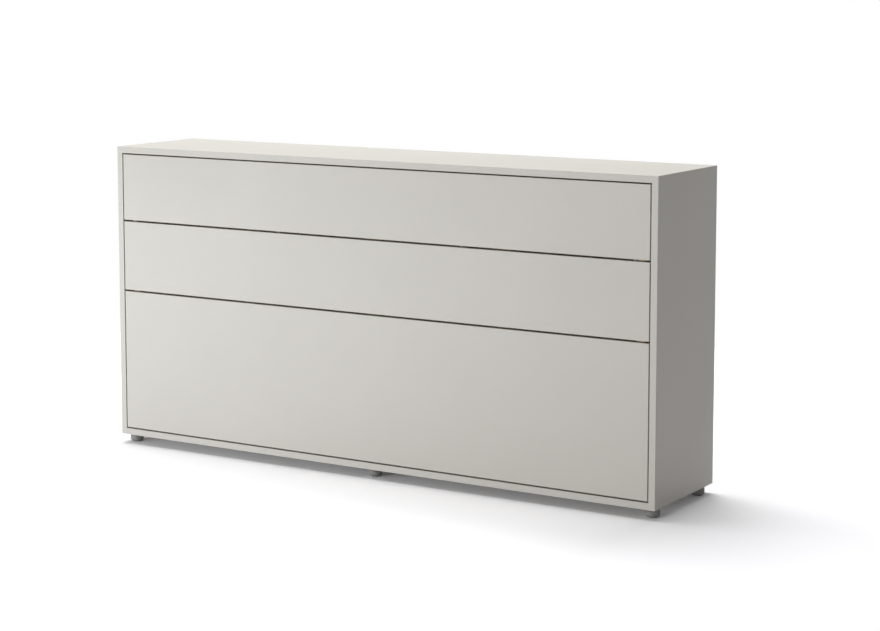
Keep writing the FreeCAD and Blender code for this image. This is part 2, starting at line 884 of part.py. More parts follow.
def link_pin_on_cabinet(side):
    """The link's lower pin, let into the side board, with a flat head inside."""
    neck_x = link_inner_x - pin_play
    head_x = side_span(side, neck_x - pin_head, neck_x)
    head = rod("X", head_x, link_y, link_low_z, link_width)
    span = side_span(side, neck_x, inner_x + bush_reach)
    return fuse(head, rod("X", span, link_y, link_low_z, link_pin))


def spring_stud(side):
    """The stud that the gas cylinder hangs on."""
    near = spring_x - eye_thick / 2 - head_play
    shank_x = side_span(side, near, inner_x + bush_reach)
    head_x = side_span(side, near - stud_head, near)
    shank = rod("X", shank_x, spring_stud_y, spring_stud_z, pin)
    wide = pin + stud_head_wider
    return fuse(shank, rod("X", head_x, spring_stud_y, spring_stud_z, wide))


# -------------------------------------------------------------- front strips


def front_strip(label, low_z, high_z, *tools):
    """A strip of the front, its outer edges slightly rounded."""
    body = new_body("strip")
    points = [
        (-panel_half, low_z),
        (panel_half, low_z),
        (panel_half, high_z),
        (-panel_half, high_z),
    ]
    blank = pad(body, outline(body, "XZ_Plane", points), panel, True)

    def outer_edge(edge):
        return abs(edge.BoundBox.YMax) < 0.01

    fillet(body, blank, edge_round, outer_edge)
    bind(body, "Placement.Base.y", front_y)
    return part(cut(body, *tools) if tools else body, label)


# -------------------------------------------------------------- the bed


def batten_places():
    """The low edge of each batten, two behind each fixed strip."""
    return (
        lower_low_z + batten_inset + long_rail,
        lower_top_z - batten_inset - batten,
        middle_low_z + batten_inset,
        middle_top_z - batten_inset - batten,
    )


def cross_rail_places():
    """The middle of each cross rail: behind two of the slats, and half way."""
    slats = slat_places()
    return (slats[3], ZERO, slats[-4])


def batten_screw_places():
    """X and Z of each screw: two through every crossing of batten and cross rail."""
    return [
        (x + way * batten_screw_side, low + batten / 2)
        for low in batten_places()
        for x in cross_rail_places()
        for way in (LEFT, RIGHT)
    ]


def make_front_and_battens():
    """Both fixed strips, the battens that carry them and the screws between."""
    battens = []
    screws = []
    half = frame_half - end_rail - batten_clear
    y = (panel_back_y, cross_front_y)
    for low in batten_places():
        battens.append(block((-half, half), y, (low, low + batten)))
    for x, z in batten_screw_places():
        screws.append(screw_along_y(x, frame_back_y - screw_sink, z, batten_screw, -1))
    lower = [s for s in screws if not above(s, lower_top_z)]
    middle = [s for s in screws if above(s, lower_top_z)]
    front_strip("front_panel_lower", lower_low_z, lower_top_z, *lower)
    front_strip("front_panel_middle", middle_low_z, middle_top_z, *middle)
    drilled = [cut(item, *screws) for item in battens]
    part(group(*drilled), "panel_battens")
    part(group(*screws), "panel_screws")
    return screws


def above(item, place):
    DOC.recompute()
    return item.Shape.BoundBox.Center.z > number(place)


def make_rails(panel_screws):
    """The bed's frame: two long rails, two end rails and three cross rails."""
    inner_half = frame_half - end_rail
    y = (frame_front_y, frame_back_y)
    long_x = (-inner_half, inner_half)
    part(block(long_x, y, (lower_rail_low_z, lower_rail_top_z)), "lower_long_rail")
    part(block(long_x, y, (upper_rail_low_z, upper_rail_top_z)), "upper_long_rail")

    reach = cross_rail / 2
    span_z = (lower_rail_top_z, upper_rail_low_z)
    sunk_y = (frame_back_y - screw_sink, frame_back_y + drill_over)
    bores = [rod("Y", x, sunk_y, z, screw_head) for x, z in batten_screw_places()]
    for name, x in zip(("left", "middle", "right"), cross_rail_places()):
        beam = block((x - reach, x + reach), (cross_front_y, frame_back_y), span_z)
        part(cut(beam, *panel_screws, *bores), f"cross_rail_{name}")

    pivot_plates = []
    hinge_plates = []
    studs = []
    for name, side in SIDES.items():
        pivot_plate = make_pivot_plate(side)
        stud = rod_stud(side)
        rail = block(
            side_span(side, inner_half, frame_half), y, (lower_rail_low_z, upper_rail_top_z)
        )
        part(cut(rail, pivot_plate, stud), f"end_rail_{name}")
        pivot_plates.append(pivot_plate)
        hinge_plates.append(make_hinge_plate(side))
        studs.append(stud)
    part(group(*pivot_plates), "pivot_plates")
    part(group(*hinge_plates), "leg_hinge_plates")
    part(group(*studs), "rod_studs")


def make_pivot_plate(side):
    """A plate let into the end rail, with the journal that the bed turns on."""
    x = side_span(side, frame_half - pivot_plate, frame_half)
    y = (frame_front_y + pivot_plate_inset, frame_back_y - pivot_plate_inset)
    flat = block(x, y, (pivot_z - pivot_plate_drop, pivot_z + pivot_plate_rise))
    span = side_span(side, frame_half, inner_x + bush_reach - journal_short)
    return fuse(flat, rod("X", span, pivot_y, pivot_z, journal))


def rod_stud(side):
    """The stud in the end rail that the spring's rod pushes on."""
    far = spring_x + eye_thick / 2 + head_play
    shank_x = side_span(side, frame_half - stud_in_rail, far)
    head_x = side_span(side, far, far + stud_head)
    shank = rod("X", shank_x, rod_stud_y, rod_stud_z, pin)
    return fuse(shank, rod("X", head_x, rod_stud_y, rod_stud_z, pin + stud_head_wider))


def make_hinge_plate(side):
    """A plate on the end rail, round at the top, with the leg's hinge pin."""
    x = side_span(side, frame_half, frame_half + hinge_plate)
    half = leg_pivot_edge()
    z = (leg_pivot_z - hinge_drop, leg_pivot_z)
    flat = block(x, (pivot_y - half, pivot_y + half), z)
    boss = rod("X", x, pivot_y, leg_pivot_z, 2 * half)
    far = leg_plate_outer_x + axle_over
    axle = rod("X", side_span(side, frame_half, far), pivot_y, leg_pivot_z, pin)
    return fuse(flat, boss, axle)


def leg_pivot_edge():
    """How far the hinge plate's round end reaches round its pin."""
    return pivot_back - panel - frame_play


def slat_places():
    """The middle of each slat: evenly spaced, clear of the end rails."""
    room = 2 * (frame_half - end_rail - slat_width)
    return [room * (step / (SLATS - 1) - 0.5) for step in range(SLATS)]


def strap_places():
    """The middle of each strap, between two slats."""
    slats = slat_places()
    return ((slats[2] + slats[3]) / 2, (slats[-3] + slats[-4]) / 2)


def make_slats():
    """Slats across the bed, each end in a holder on a long rail."""
    slats = []
    holders = []
    reach = slat_width / 2
    lip = reach + holder_wall
    slat_z = (slat_low_z, slat_high_z)
    low_end = slat_low_z - holder_end
    high_end = slat_high_z + holder_end
    holder_y = (frame_back_y, slat_back_y - holder_open)
    for x in slat_places():
        slat = block((x - reach, x + reach), (slat_front_y, slat_back_y), slat_z)
        slats.append(slat)
        for z in ((low_end, low_end + holder_grip), (high_end - holder_grip, high_end)):
            shell = block((x - lip, x + lip), holder_y, z)
            holders.append(cut(shell, slat))
    part(group(*slats), "slats")
    part(group(*holders), "slat_holders")


def make_mattress():
    """A foam block with rounded edges, and two straps from rail to rail."""
    body = new_body("foam")
    half = mattress_length / 2
    points = [
        (-half, mattress_low_z),
        (half, mattress_low_z),
        (half, mattress_top_z),
        (-half, mattress_top_z),
    ]
    blank = pad(body, outline(body, "XZ_Plane", points), mattress_height, True)
    fillet(body, blank, mattress_round, lambda edge: True)
    bind(body, "Placement.Base.y", mattress_front_y)
    part(body, "mattress")

    straps = []
    buckles = []
    near = mattress_back_y + strap_play
    far = near + strap_thick
    top = mattress_top_z + strap_play
    low = mattress_low_z - strap_play
    over_y = (frame_back_y, far)
    end_y = (frame_back_y, frame_back_y + strap_thick)
    high_end_z = (upper_rail_top_z - strap_hold_high, top + strap_thick)
    low_end_z = (low - strap_thick, lower_rail_top_z - strap_hold_low)
    buckle_low_z = mattress_top_z - buckle_drop
    buckle_z = (buckle_low_z, buckle_low_z + buckle_height)
    for middle in strap_places():
        x = (middle - strap_width / 2, middle + strap_width / 2)
        across = block(x, (near, far), (low - strap_thick, top + strap_thick))
        upper = block(x, over_y, (top, top + strap_thick))
        lower = block(x, over_y, (low - strap_thick, low))
        ends = (block(x, end_y, high_end_z), block(x, end_y, low_end_z))
        straps.append(fuse(across, upper, lower, *ends))
        buckle_x = (x[0] - buckle_over, x[1] + buckle_over)
        buckles.append(block(buckle_x, (far, far + buckle_thick), buckle_z))
    part(group(*straps), "mattress_straps")
    part(group(*buckles), "strap_buckles")


# -------------------------------------------------------------- the leg


def leg_plate_outline():
    """A plate from the strip's inner face round both of the leg's pins."""
    half = leg_pivot_edge()
    top = link_high_z + half - leg_plate_trim
    return [
        (panel_back_y, leg_pivot_z - leg_plate_drop),
        (pivot_y + half, leg_pivot_z - half),
        (link_y + half, link_high_z - half),
        (link_y + half, top),
        (link_y - half, top),
        (panel_back_y, top),
    ]


def make_leg():
    """The top strip, its stiffener and the brackets that carry it."""
    brackets = []
    ends = []
    screws = []
    low = leg_pivot_z - leg_plate_drop
    z = (low, link_high_z + leg_pivot_edge() - leg_plate_trim)
    flange_y = (panel_back_y, panel_back_y + frame_play - head_play)
    flange_near = frame_half + hinge_plate + leg_flange_clear
    cap_near = link_outer_x + head_play
    for side in (LEFT, RIGHT):
        x = side_span(side, leg_plate_inner_x, leg_plate_outer_x)
        web = plate_body("leg_web", x, leg_plate_outline())
        flange = block(side_span(side, flange_near, leg_plate_outer_x), flange_y, z)
        pin_x = side_span(side, leg_plate_inner_x, cap_near)
        cap_x = side_span(side, cap_near, cap_near + leg_cap)
        shank = rod("X", pin_x, link_y, link_high_z, link_pin)
        cap = rod("X", cap_x, link_y, link_high_z, link_width)
        end_pin = fuse(shank, cap)
        bore = rod("X", x, pivot_y, leg_pivot_z, pin + 2 * pin_play)
        fixing_x = side * (frame_half + hinge_plate + leg_screw_side)
        head_y = flange_y[1] + head_thick
        fixings = [
            screw_along_y(fixing_x, head_y, low + up, leg_screw, -1)
            for up in (leg_screw_low, leg_screw_high)
        ]
        brackets.append(cut(fuse(web, flange), bore, end_pin, *fixings))
        ends.append(end_pin)
        screws += fixings

    stiff_low = upper_low_z + stiffener_lift
    stiff_back = panel_back_y + stiffener_thick
    half = frame_half - stiffener_inset
    stiff_z = (stiff_low, stiff_low + stiffener_height)
    bar = block((-half, half), (panel_back_y, stiff_back), stiff_z)
    middle = stiff_low + stiffener_height / 2
    for x in cross_rail_places():
        screws.append(screw_along_y(x, stiff_back, middle, stiffener_screw, -1))
    part(cut(bar, *screws), "leg_stiffener")
    front_strip("front_panel_upper", upper_low_z, upper_top_z, *screws)
    part(group(*brackets), "leg_brackets")
    part(group(*ends), "link_end_pins")
    part(group(*screws), "leg_screws")

    glides = []
    span = (upper_low_z - glide, upper_low_z)
    for share in GLIDE_SHARES:
        x = panel_half * share
        glides.append(rod("Z", x, front_y + panel / 2, span, glide_width))
    part(group(*glides), "leg_glides")


def make_links():
    """The side links: flat bars with a round eye at each end."""
    for name, side in SIDES.items():
        x = side_span(side, link_inner_x, link_outer_x)
        y = (link_y - link_width / 2, link_y + link_width / 2)
        bar = block(x, y, (link_low_z, link_high_z))
        low_eye = rod("X", x, link_y, link_low_z, link_width)
        high_eye = rod("X", x, link_y, link_high_z, link_width)
        bore = link_pin + 2 * pin_play
        low_bore = rod("X", x, link_y, link_low_z, bore)
        high_bore = rod("X", x, link_y, link_high_z, bore)
        part(cut(fuse(bar, low_eye, high_eye), low_bore, high_bore), f"leg_link_{name}")


# -------------------------------------------------------------- gas springs


def turned(name, points, side, y, z):
    """A turned piece whose axis leans with the spring, hung from one end."""
    body = new_body(name)
    revolve(body, outline(body, "XZ_Plane", points), "V_Axis")
    body.Placement = FreeCAD.Placement(
        FreeCAD.Vector(), FreeCAD.Rotation(FreeCAD.Vector(1, 0, 0), 1)
    )
    bind(body, "Placement.Rotation.Angle", spring_lean)
    put(body, side * spring_x, y, z)
    return body


def spring_eye(side, y, z):
    x = side_span(side, spring_x - eye_thick / 2, spring_x + eye_thick / 2)
    bore = rod("X", x, y, z, pin + 2 * pin_play)
    return rod("X", x, y, z, eye_width), bore


def make_springs():
    """A closed tube hung on the cabinet and a rod that stands on the bed."""
    outside = spring_tube / 2
    inside = spring_bore / 2
    mouth = spring_rod / 2 + spring_play
    tube_end = tube_start + tube_length
    stem = eye_width / 2 - stem_in
    root = eye_width / 2 - eye_overlap
    tube_points = [
        (stem, -root),
        (stem, -tube_start),
        (outside, -tube_start),
        (outside, -tube_end),
        (mouth, -tube_end),
        (mouth, tube_gland - tube_end),
        (inside, tube_gland - tube_end),
        (inside, -(tube_start + tube_cap)),
        (ZERO, -(tube_start + tube_cap)),
        (ZERO, -root),
    ]
    piston_foot = spring_length - (tube_end - piston_stop)
    rod_reach = piston_foot + piston_length
    piston = inside - spring_play
    rod_points = [
        (ZERO, root),
        (spring_rod / 2, root),
        (spring_rod / 2, piston_foot),
        (piston, piston_foot),
        (piston, rod_reach),
        (ZERO, rod_reach),
    ]
    for name, side in SIDES.items():
        tube = turned("tube", tube_points, side, spring_stud_y, spring_stud_z)
        eye, bore = spring_eye(side, spring_stud_y, spring_stud_z)
        part(cut(fuse(tube, eye), bore), f"gas_cylinder_{name}")
        stem_rod = turned("stem", rod_points, side, rod_stud_y, rod_stud_z)
        eye, bore = spring_eye(side, rod_stud_y, rod_stud_z)
        part(cut(fuse(stem_rod, eye), bore), f"gas_rod_{name}")


# -------------------------------------------------------------- the whole


def write_parts():
    """Checks every object, then writes one file for each sub-part."""
    DOC.recompute()
    for item in DOC.Objects:
        if "Invalid" in item.State or "Error" in item.State:
            raise RuntimeError(f"{item.Label} did not compute: {item.State}")
    for item in PARTS:
        if item.Shape.isNull() or not item.Shape.isValid() or not item.Shape.Solids:
            raise RuntimeError(f"{item.Label} has no valid solid")
    os.makedirs("parts", exist_ok=True)
    for item in PARTS:
        item.Shape.exportStep(f"parts/{item.Label}.step")
    print(len(PARTS), "sub-parts")


strike_plates = make_cabinet()
part(group(*strike_plates), "strike_plates")
make_rails(make_front_and_battens())
make_slats()
make_mattress()
make_leg()
make_links()
make_springs()
write_parts()
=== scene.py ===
"""Looks of a cabinet bed: its finishes, mattress, straps, studio and camera.

Lengths are in metres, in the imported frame, unless a name ends in _mm. At rest the
bed stands upright in its cabinet, so the mattress stands on its long side, with its
lying face towards +Y.
"""

import logging
import math
from collections.abc import Callable, Iterable
from dataclasses import dataclass, field
from enum import Enum

import bmesh
import bpy
import numpy as np
from bpy.types import Material, Mesh, Node, NodeSocket, NodeTree, Object
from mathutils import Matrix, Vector


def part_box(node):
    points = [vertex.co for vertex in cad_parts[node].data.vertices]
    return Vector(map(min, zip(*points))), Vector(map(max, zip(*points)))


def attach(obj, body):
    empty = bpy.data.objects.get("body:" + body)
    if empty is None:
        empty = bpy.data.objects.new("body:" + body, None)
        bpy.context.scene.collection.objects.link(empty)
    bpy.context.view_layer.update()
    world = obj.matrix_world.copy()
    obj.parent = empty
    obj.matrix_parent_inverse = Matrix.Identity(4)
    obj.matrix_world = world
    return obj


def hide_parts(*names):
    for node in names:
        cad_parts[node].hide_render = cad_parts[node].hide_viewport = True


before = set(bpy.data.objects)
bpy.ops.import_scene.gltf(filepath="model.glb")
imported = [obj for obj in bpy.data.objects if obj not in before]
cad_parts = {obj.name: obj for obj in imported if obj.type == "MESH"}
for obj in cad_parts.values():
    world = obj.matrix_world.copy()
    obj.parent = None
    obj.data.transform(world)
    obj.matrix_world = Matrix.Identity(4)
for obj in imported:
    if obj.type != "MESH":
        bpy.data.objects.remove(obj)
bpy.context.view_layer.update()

log = logging.getLogger("cabinet_bed")

# A Mix node keeps one set of sockets for each kind of value; these are its colour ones.
MIX_FROM, MIX_TO, MIX_RESULT = 6, 7, 2
# A Wave texture's bands repeat every tau / 20 at scale 1.
WAVE_SCALE = math.tau / 20
# X of the middle of each mattress strap.
STRAP_PLACES = (-0.5631, 0.5631)
# An edge stays sharp if it turns by more degrees than this: on padded cloth, on
# piping, and on webbing and moulded pieces.
CLOTH_EDGE, PIPING_EDGE, HARD_EDGE = 75.0, 60.0, 40.0
# Two places nearer than this are the same.
SAME_PLACE = 1e-5


class Axis(Enum):
    """A direction of the frame, by the name of its socket on a Separate XYZ node."""

    LENGTH = "X"
    DEPTH = "Y"
    HEIGHT = "Z"


# ------------------------------------------------------------------ small helpers


def linear(hex_code: str) -> tuple[float, float, float, float]:
    """Turns an sRGB colour into a shader's linear one, by the standard's curve.

    Args:
        hex_code: the colour as #RRGGBB.

    Returns:
        Linear red, green, blue and an alpha of 1.
    """
    parts = [int(hex_code[start : start + 2], 16) / 255 for start in (1, 3, 5)]
    red, green, blue = (
        part / 12.92 if part <= 0.04045 else ((part + 0.055) / 1.055) ** 2.4
        for part in parts
    )
    return red, green, blue, 1.0


def per(spacing_mm: float) -> float:
    """Returns the texture scale that repeats once every spacing_mm."""
    return 1000.0 / spacing_mm


def feed(tree: NodeTree, node: Node, links: dict) -> None:
    """Gives inputs of a node what they take.

    Args:
        tree: the material's node tree.
        node: the node.
        links: for each input, by name or number, the socket or the value that feeds it.
    """
    for socket, value in links.items():
        if isinstance(value, NodeSocket):
            tree.links.new(value, node.inputs[socket])
        else:
            node.inputs[socket].default_value = value


def add_node(
    tree: NodeTree, kind: str, links: dict | None = None, **settings: object
) -> Node:
    """Adds a node to a material.

    Args:
        tree: the material's node tree.
        kind: the node's type name, without the ShaderNode that it starts with.
        links: what feeds its inputs, as for feed.
        **settings: the node's own properties.

    Returns:
        The new node.
    """
    node = tree.nodes.new(f"ShaderNode{kind}")
    for name, value in settings.items():
        setattr(node, name, value)
    feed(tree, node, links or {})
    return node


def deselect() -> None:
    """Leaves nothing selected, so that an operator meets only what it is given."""
    if bpy.context.object and bpy.context.object.mode != "OBJECT":
        bpy.ops.object.mode_set(mode="OBJECT")
    bpy.ops.object.select_all(action="DESELECT")


def pick(piece: Object) -> None:
    """Makes a piece the only selected one, and the active one."""
    deselect()
    piece.select_set(True)
    bpy.context.view_layer.objects.active = piece


def settle(piece: Object) -> None:
    """Puts a piece's place, turn and size into its mesh."""
    pick(piece)
    bpy.ops.object.transform_apply(location=True, rotation=True, scale=True)


def add_block(name: str, low: Vector, high: Vector) -> Object:
    """Adds a block at its size and place, to be shaped further.

    Args:
        name: the piece's name.
        low: its lowest corner.
        high: its highest corner.

    Returns:
        The block, with its place in its mesh.
    """
    deselect()
    bpy.ops.mesh.primitive_cube_add(size=1, location=(low + high) / 2)
    block = bpy.context.object
    block.name = name
    block.scale = high - low
    settle(block)
    return block


def add_sheet(name: str, middle: Vector, width: float, height: float) -> Object:
    """Adds a flat sheet that stands facing along Y, to be shaped further.

    Args:
        name: the piece's name.
        middle: where its middle is.
        width: its size along X.
        height: its size along Z.

    Returns:
        The sheet, with its place in its mesh.
    """
    deselect()
    bpy.ops.mesh.primitive_plane_add(
        size=1, location=middle, rotation=(math.pi / 2, 0, 0)
    )
    sheet = bpy.context.object
    sheet.name = name
    sheet.scale = (width, height, 1)
    settle(sheet)
    return sheet


def select_edges(piece: Object, wanted: Callable[[Vector, Vector], bool]) -> None:
    """Selects, in edit mode, the edges whose two ends pass a test.

    Args:
        piece: the object that is being edited.
        wanted: says of an edge's two ends whether the edge is meant.
    """
    bpy.ops.mesh.select_mode(type="EDGE")
    bpy.ops.mesh.select_all(action="DESELECT")
    shape = bmesh.from_edit_mesh(piece.data)
    for edge in shape.edges:
        edge.select_set(wanted(edge.verts[0].co, edge.verts[1].co))
    bmesh.update_edit_mesh(piece.data)


def select_faces(piece: Object, wanted: Callable[[Vector], bool]) -> None:
    """Selects, in edit mode, the faces whose middle passes a test.

    Args:
        piece: the object that is being edited.
        wanted: says of a face's middle whether the face is meant.
    """
    bpy.ops.mesh.select_mode(type="FACE")
    bpy.ops.mesh.select_all(action="DESELECT")
    shape = bmesh.from_edit_mesh(piece.data)
    for face in shape.faces:
        face.select_set(wanted(face.calc_center_median()))
    bmesh.update_edit_mesh(piece.data)


def apply_modifier(piece: Object, kind: str, **settings: object) -> None:
    """Adds a modifier to a piece and applies it.

    Args:
        piece: the piece to change.
        kind: the modifier's type name.
        **settings: the modifier's own properties.
    """
    pick(piece)
    modifier = piece.modifiers.new(kind.lower(), kind)
    for name, value in settings.items():
        setattr(modifier, name, value)
    bpy.ops.object.modifier_apply(modifier=modifier.name)


def smooth(piece: Object, limit_degrees: float) -> None:
    """Shades a piece smooth, apart from edges that turn by more than the limit."""
    pick(piece)
    bpy.ops.object.shade_smooth_by_angle(angle=math.radians(limit_degrees))


def move_vertices(piece: Object, places: np.ndarray) -> None:
    """Moves a piece's vertices to new places, one row each."""
    piece.data.vertices.foreach_set("co", places.astype(np.float32).ravel())
    piece.data.update()


def vertex_places(mesh: Mesh) -> np.ndarray:
    """Returns a mesh's vertices as an array with one row each."""
    places = np.empty(len(mesh.vertices) * 3, np.float32)
    mesh.vertices.foreach_get("co", places)
    return places.reshape(-1, 3).astype(float)


def cover_with(piece: Object, *materials: Material) -> None:
    """Gives a piece its materials, in place of those that it has."""
    piece.data.materials.clear()
    for material in materials:
        piece.data.materials.append(material)


def copy_of(piece: Object, name: str, shift: Vector) -> Object:
    """Copies a piece, mesh and all, and moves the copy's vertices.

    Args:
        piece: the piece that was modelled.
        name: the copy's name.
        shift: how far away the copy lies.

    Returns:
        The copy, whose place is in its own mesh.
    """
    pick(piece)
    bpy.ops.object.duplicate(linked=False)
    twin = bpy.context.object
    twin.name = name
    twin.location = shift
    settle(twin)
    return twin


# ---------------------------------------------------------------------- finishes


@dataclass(frozen=True)
class Finish:
    """What every finish has. A subclass adds its pattern.

    Attributes:
        name: the material's name.
        colour: its main colour, as sRGB hex.
        roughness: its mean roughness.
        metallic: 1 for bare metal.
        ior: the index of refraction; a metal keeps the default.
    """

    name: str
    colour: str
    roughness: float
    metallic: float = 0.0
    ior: float = 1.5

    def material(self) -> Material:
        """Returns a new material with this finish."""
        made = bpy.data.materials.new(self.name)
        made.use_nodes = True
        tree = made.node_tree
        tree.nodes.clear()
        shader = add_node(tree, "BsdfPrincipled", {
            "Base Color": linear(self.colour), "Roughness": self.roughness,
            "Metallic": self.metallic, "IOR": self.ior,
        })
        add_node(tree, "OutputMaterial", {"Surface": shader.outputs["BSDF"]})
        place = add_node(tree, "TexCoord").outputs["Object"]
        self.pattern(tree, shader, place)
        return made

    def pattern(self, tree: NodeTree, shader: Node, place: NodeSocket) -> None:
        """Adds what varies over the surface.

        Args:
            tree: the material's node tree.
            shader: its Principled shader.
            place: the Object coordinates, in metres.
        """
        raise NotImplementedError(self.name)


@dataclass(frozen=True)
class PearlMelamine(Finish):
    """Melamine paper pressed on chipboard against a fine pearl plate.

    It is matt, with a trace of pearl grain, a slow change of tone over each board,
    and a hairline where the 1 mm edge band meets the face.

    Attributes:
        grain_mm: width of a pearl; real ones are half as wide and wouldn't show.
        grain_depth_mm: how deep the pearl is.
        gloss_change: how far the roughness varies with it.
        cloud_mm: width of the slow changes of tone.
        cloud_colour: the tone at the darker end of that change.
        joint_colour: the hairline's colour.
        joints: the planes that hold the hairlines, each an axis and a place on it.
        joint_half_mm: half the width of a hairline.
    """

    grain_mm: float = 1.6
    grain_depth_mm: float = 0.04
    gloss_change: float = 0.05
    cloud_mm: float = 420.0
    cloud_colour: str = "#CAC6BD"
    joint_colour: str = "#A9A59B"
    joints: tuple[tuple[Axis, float], ...] = ()
    joint_half_mm: float = 0.15

    def pattern(self, tree: NodeTree, shader: Node, place: NodeSocket) -> None:
        """Adds the clouding, the pearl grain and the edge bands' hairlines."""
        cloud = add_node(
            tree, "TexNoise",
            {"Vector": place, "Scale": per(self.cloud_mm), "Detail": 2.0},
        )
        tone = add_node(tree, "Mix", {
            0: cloud.outputs["Fac"], MIX_FROM: linear(self.colour),
            MIX_TO: linear(self.cloud_colour),
        }, data_type="RGBA")
        colour = tone.outputs[MIX_RESULT]
        if self.joints:
            parts = add_node(tree, "SeparateXYZ", {"Vector": place})
            found = None
            for axis, where in self.joints:
                near = add_node(tree, "Math", {
                    0: parts.outputs[axis.value], 1: where,
                    2: self.joint_half_mm / 1000,
                }, operation="COMPARE")
                if found is None:
                    found = near.outputs[0]
                else:
                    both = {0: found, 1: near.outputs[0]}
                    found = add_node(tree, "Math", both, operation="MAXIMUM").outputs[0]
            lined = add_node(
                tree, "Mix",
                {0: found, MIX_FROM: colour, MIX_TO: linear(self.joint_colour)},
                data_type="RGBA",
            )
            colour = lined.outputs[MIX_RESULT]
        pearl = add_node(
            tree, "TexNoise",
            {"Vector": place, "Scale": per(self.grain_mm), "Detail": 1.0},
        )
        sheen = add_node(tree, "MapRange", {
            "Value": pearl.outputs["Fac"], "To Min": self.roughness - self.gloss_change,
            "To Max": self.roughness + self.gloss_change,
        })
        bump = add_node(tree, "Bump", {
            "Height": pearl.outputs["Fac"], "Distance": self.grain_depth_mm / 1000,
            "Strength": 0.5,
        })
        feed(tree, shader, {
            "Base Color": colour, "Roughness": sheen.outputs["Result"],
            "Normal": bump.outputs["Normal"],
        })


@dataclass(frozen=True)
class LacqueredHardboard(Finish):
    """Dry-pressed hardboard, lacquered on the face that looks into the cabinet.

    The face towards the wall stays raw, so it shows brown fibres.

    Attributes:
        raw_colour: colour of the raw face.
        fibre_colour: colour of its darker fibres.
        fibre_mm: length of a fibre bundle, drawn longer than a real one, to show.
        fibre_depth_mm: how far the fibres stand out.
        patch_mm: width of the slow changes of tone from the pressed mat.
        patch_share: how strong they are beside the fibres.
        dark_from: sum of fibre and patch at which the raw face starts to darken.
        dark_to: sum at which it is darkest.
        raw_rougher: how much rougher the raw face is.
        raw_from: the sheet is raw behind this Y.
    """

    raw_colour: str = "#A37D56"
    fibre_colour: str = "#6C4D31"
    fibre_mm: float = 8.0
    fibre_depth_mm: float = 0.2
    patch_mm: float = 170.0
    patch_share: float = 0.25
    dark_from: float = 0.4
    dark_to: float = 0.85
    raw_rougher: float = 0.35
    raw_from: float = 0.2025

    def pattern(self, tree: NodeTree, shader: Node, place: NodeSocket) -> None:
        """Adds the brown fibres behind, and the lacquer's light orange peel."""
        parts = add_node(tree, "SeparateXYZ", {"Vector": place})
        behind = add_node(
            tree, "Math", {0: parts.outputs[Axis.DEPTH.value], 1: self.raw_from},
            operation="GREATER_THAN",
        )
        fibres = add_node(tree, "TexNoise", {
            "Vector": place, "Scale": per(self.fibre_mm), "Detail": 6.0,
            "Roughness": 0.7, "Distortion": 1.5,
        })
        patches = add_node(
            tree, "TexNoise",
            {"Vector": place, "Scale": per(self.patch_mm), "Detail": 3.0},
        )
        uneven = add_node(
            tree, "Math",
            {0: patches.outputs["Fac"], 1: self.patch_share, 2: fibres.outputs["Fac"]},
            operation="MULTIPLY_ADD",
        )
        dark = add_node(tree, "MapRange", {
            "Value": uneven.outputs[0], "From Min": self.dark_from,
            "From Max": self.dark_to,
        })
        raw = add_node(tree, "Mix", {
            0: dark.outputs["Result"], MIX_FROM: linear(self.raw_colour),
            MIX_TO: linear(self.fibre_colour),
        }, data_type="RGBA")
        colour = add_node(tree, "Mix", {
            0: behind.outputs[0], MIX_FROM: linear(self.colour),
            MIX_TO: raw.outputs[MIX_RESULT],
        }, data_type="RGBA")
        dull = add_node(tree, "MapRange", {
            "Value": behind.outputs[0], "To Min": self.roughness,
            "To Max": self.roughness + self.raw_rougher,
        })
        bump = add_node(tree, "Bump", {
            "Height": fibres.outputs["Fac"], "Distance": self.fibre_depth_mm / 1000,
            "Strength": 0.35,
        })
        feed(tree, shader, {
            "Base Color": colour.outputs[MIX_RESULT],
            "Roughness": dull.outputs["Result"], "Normal": bump.outputs["Normal"],
        })


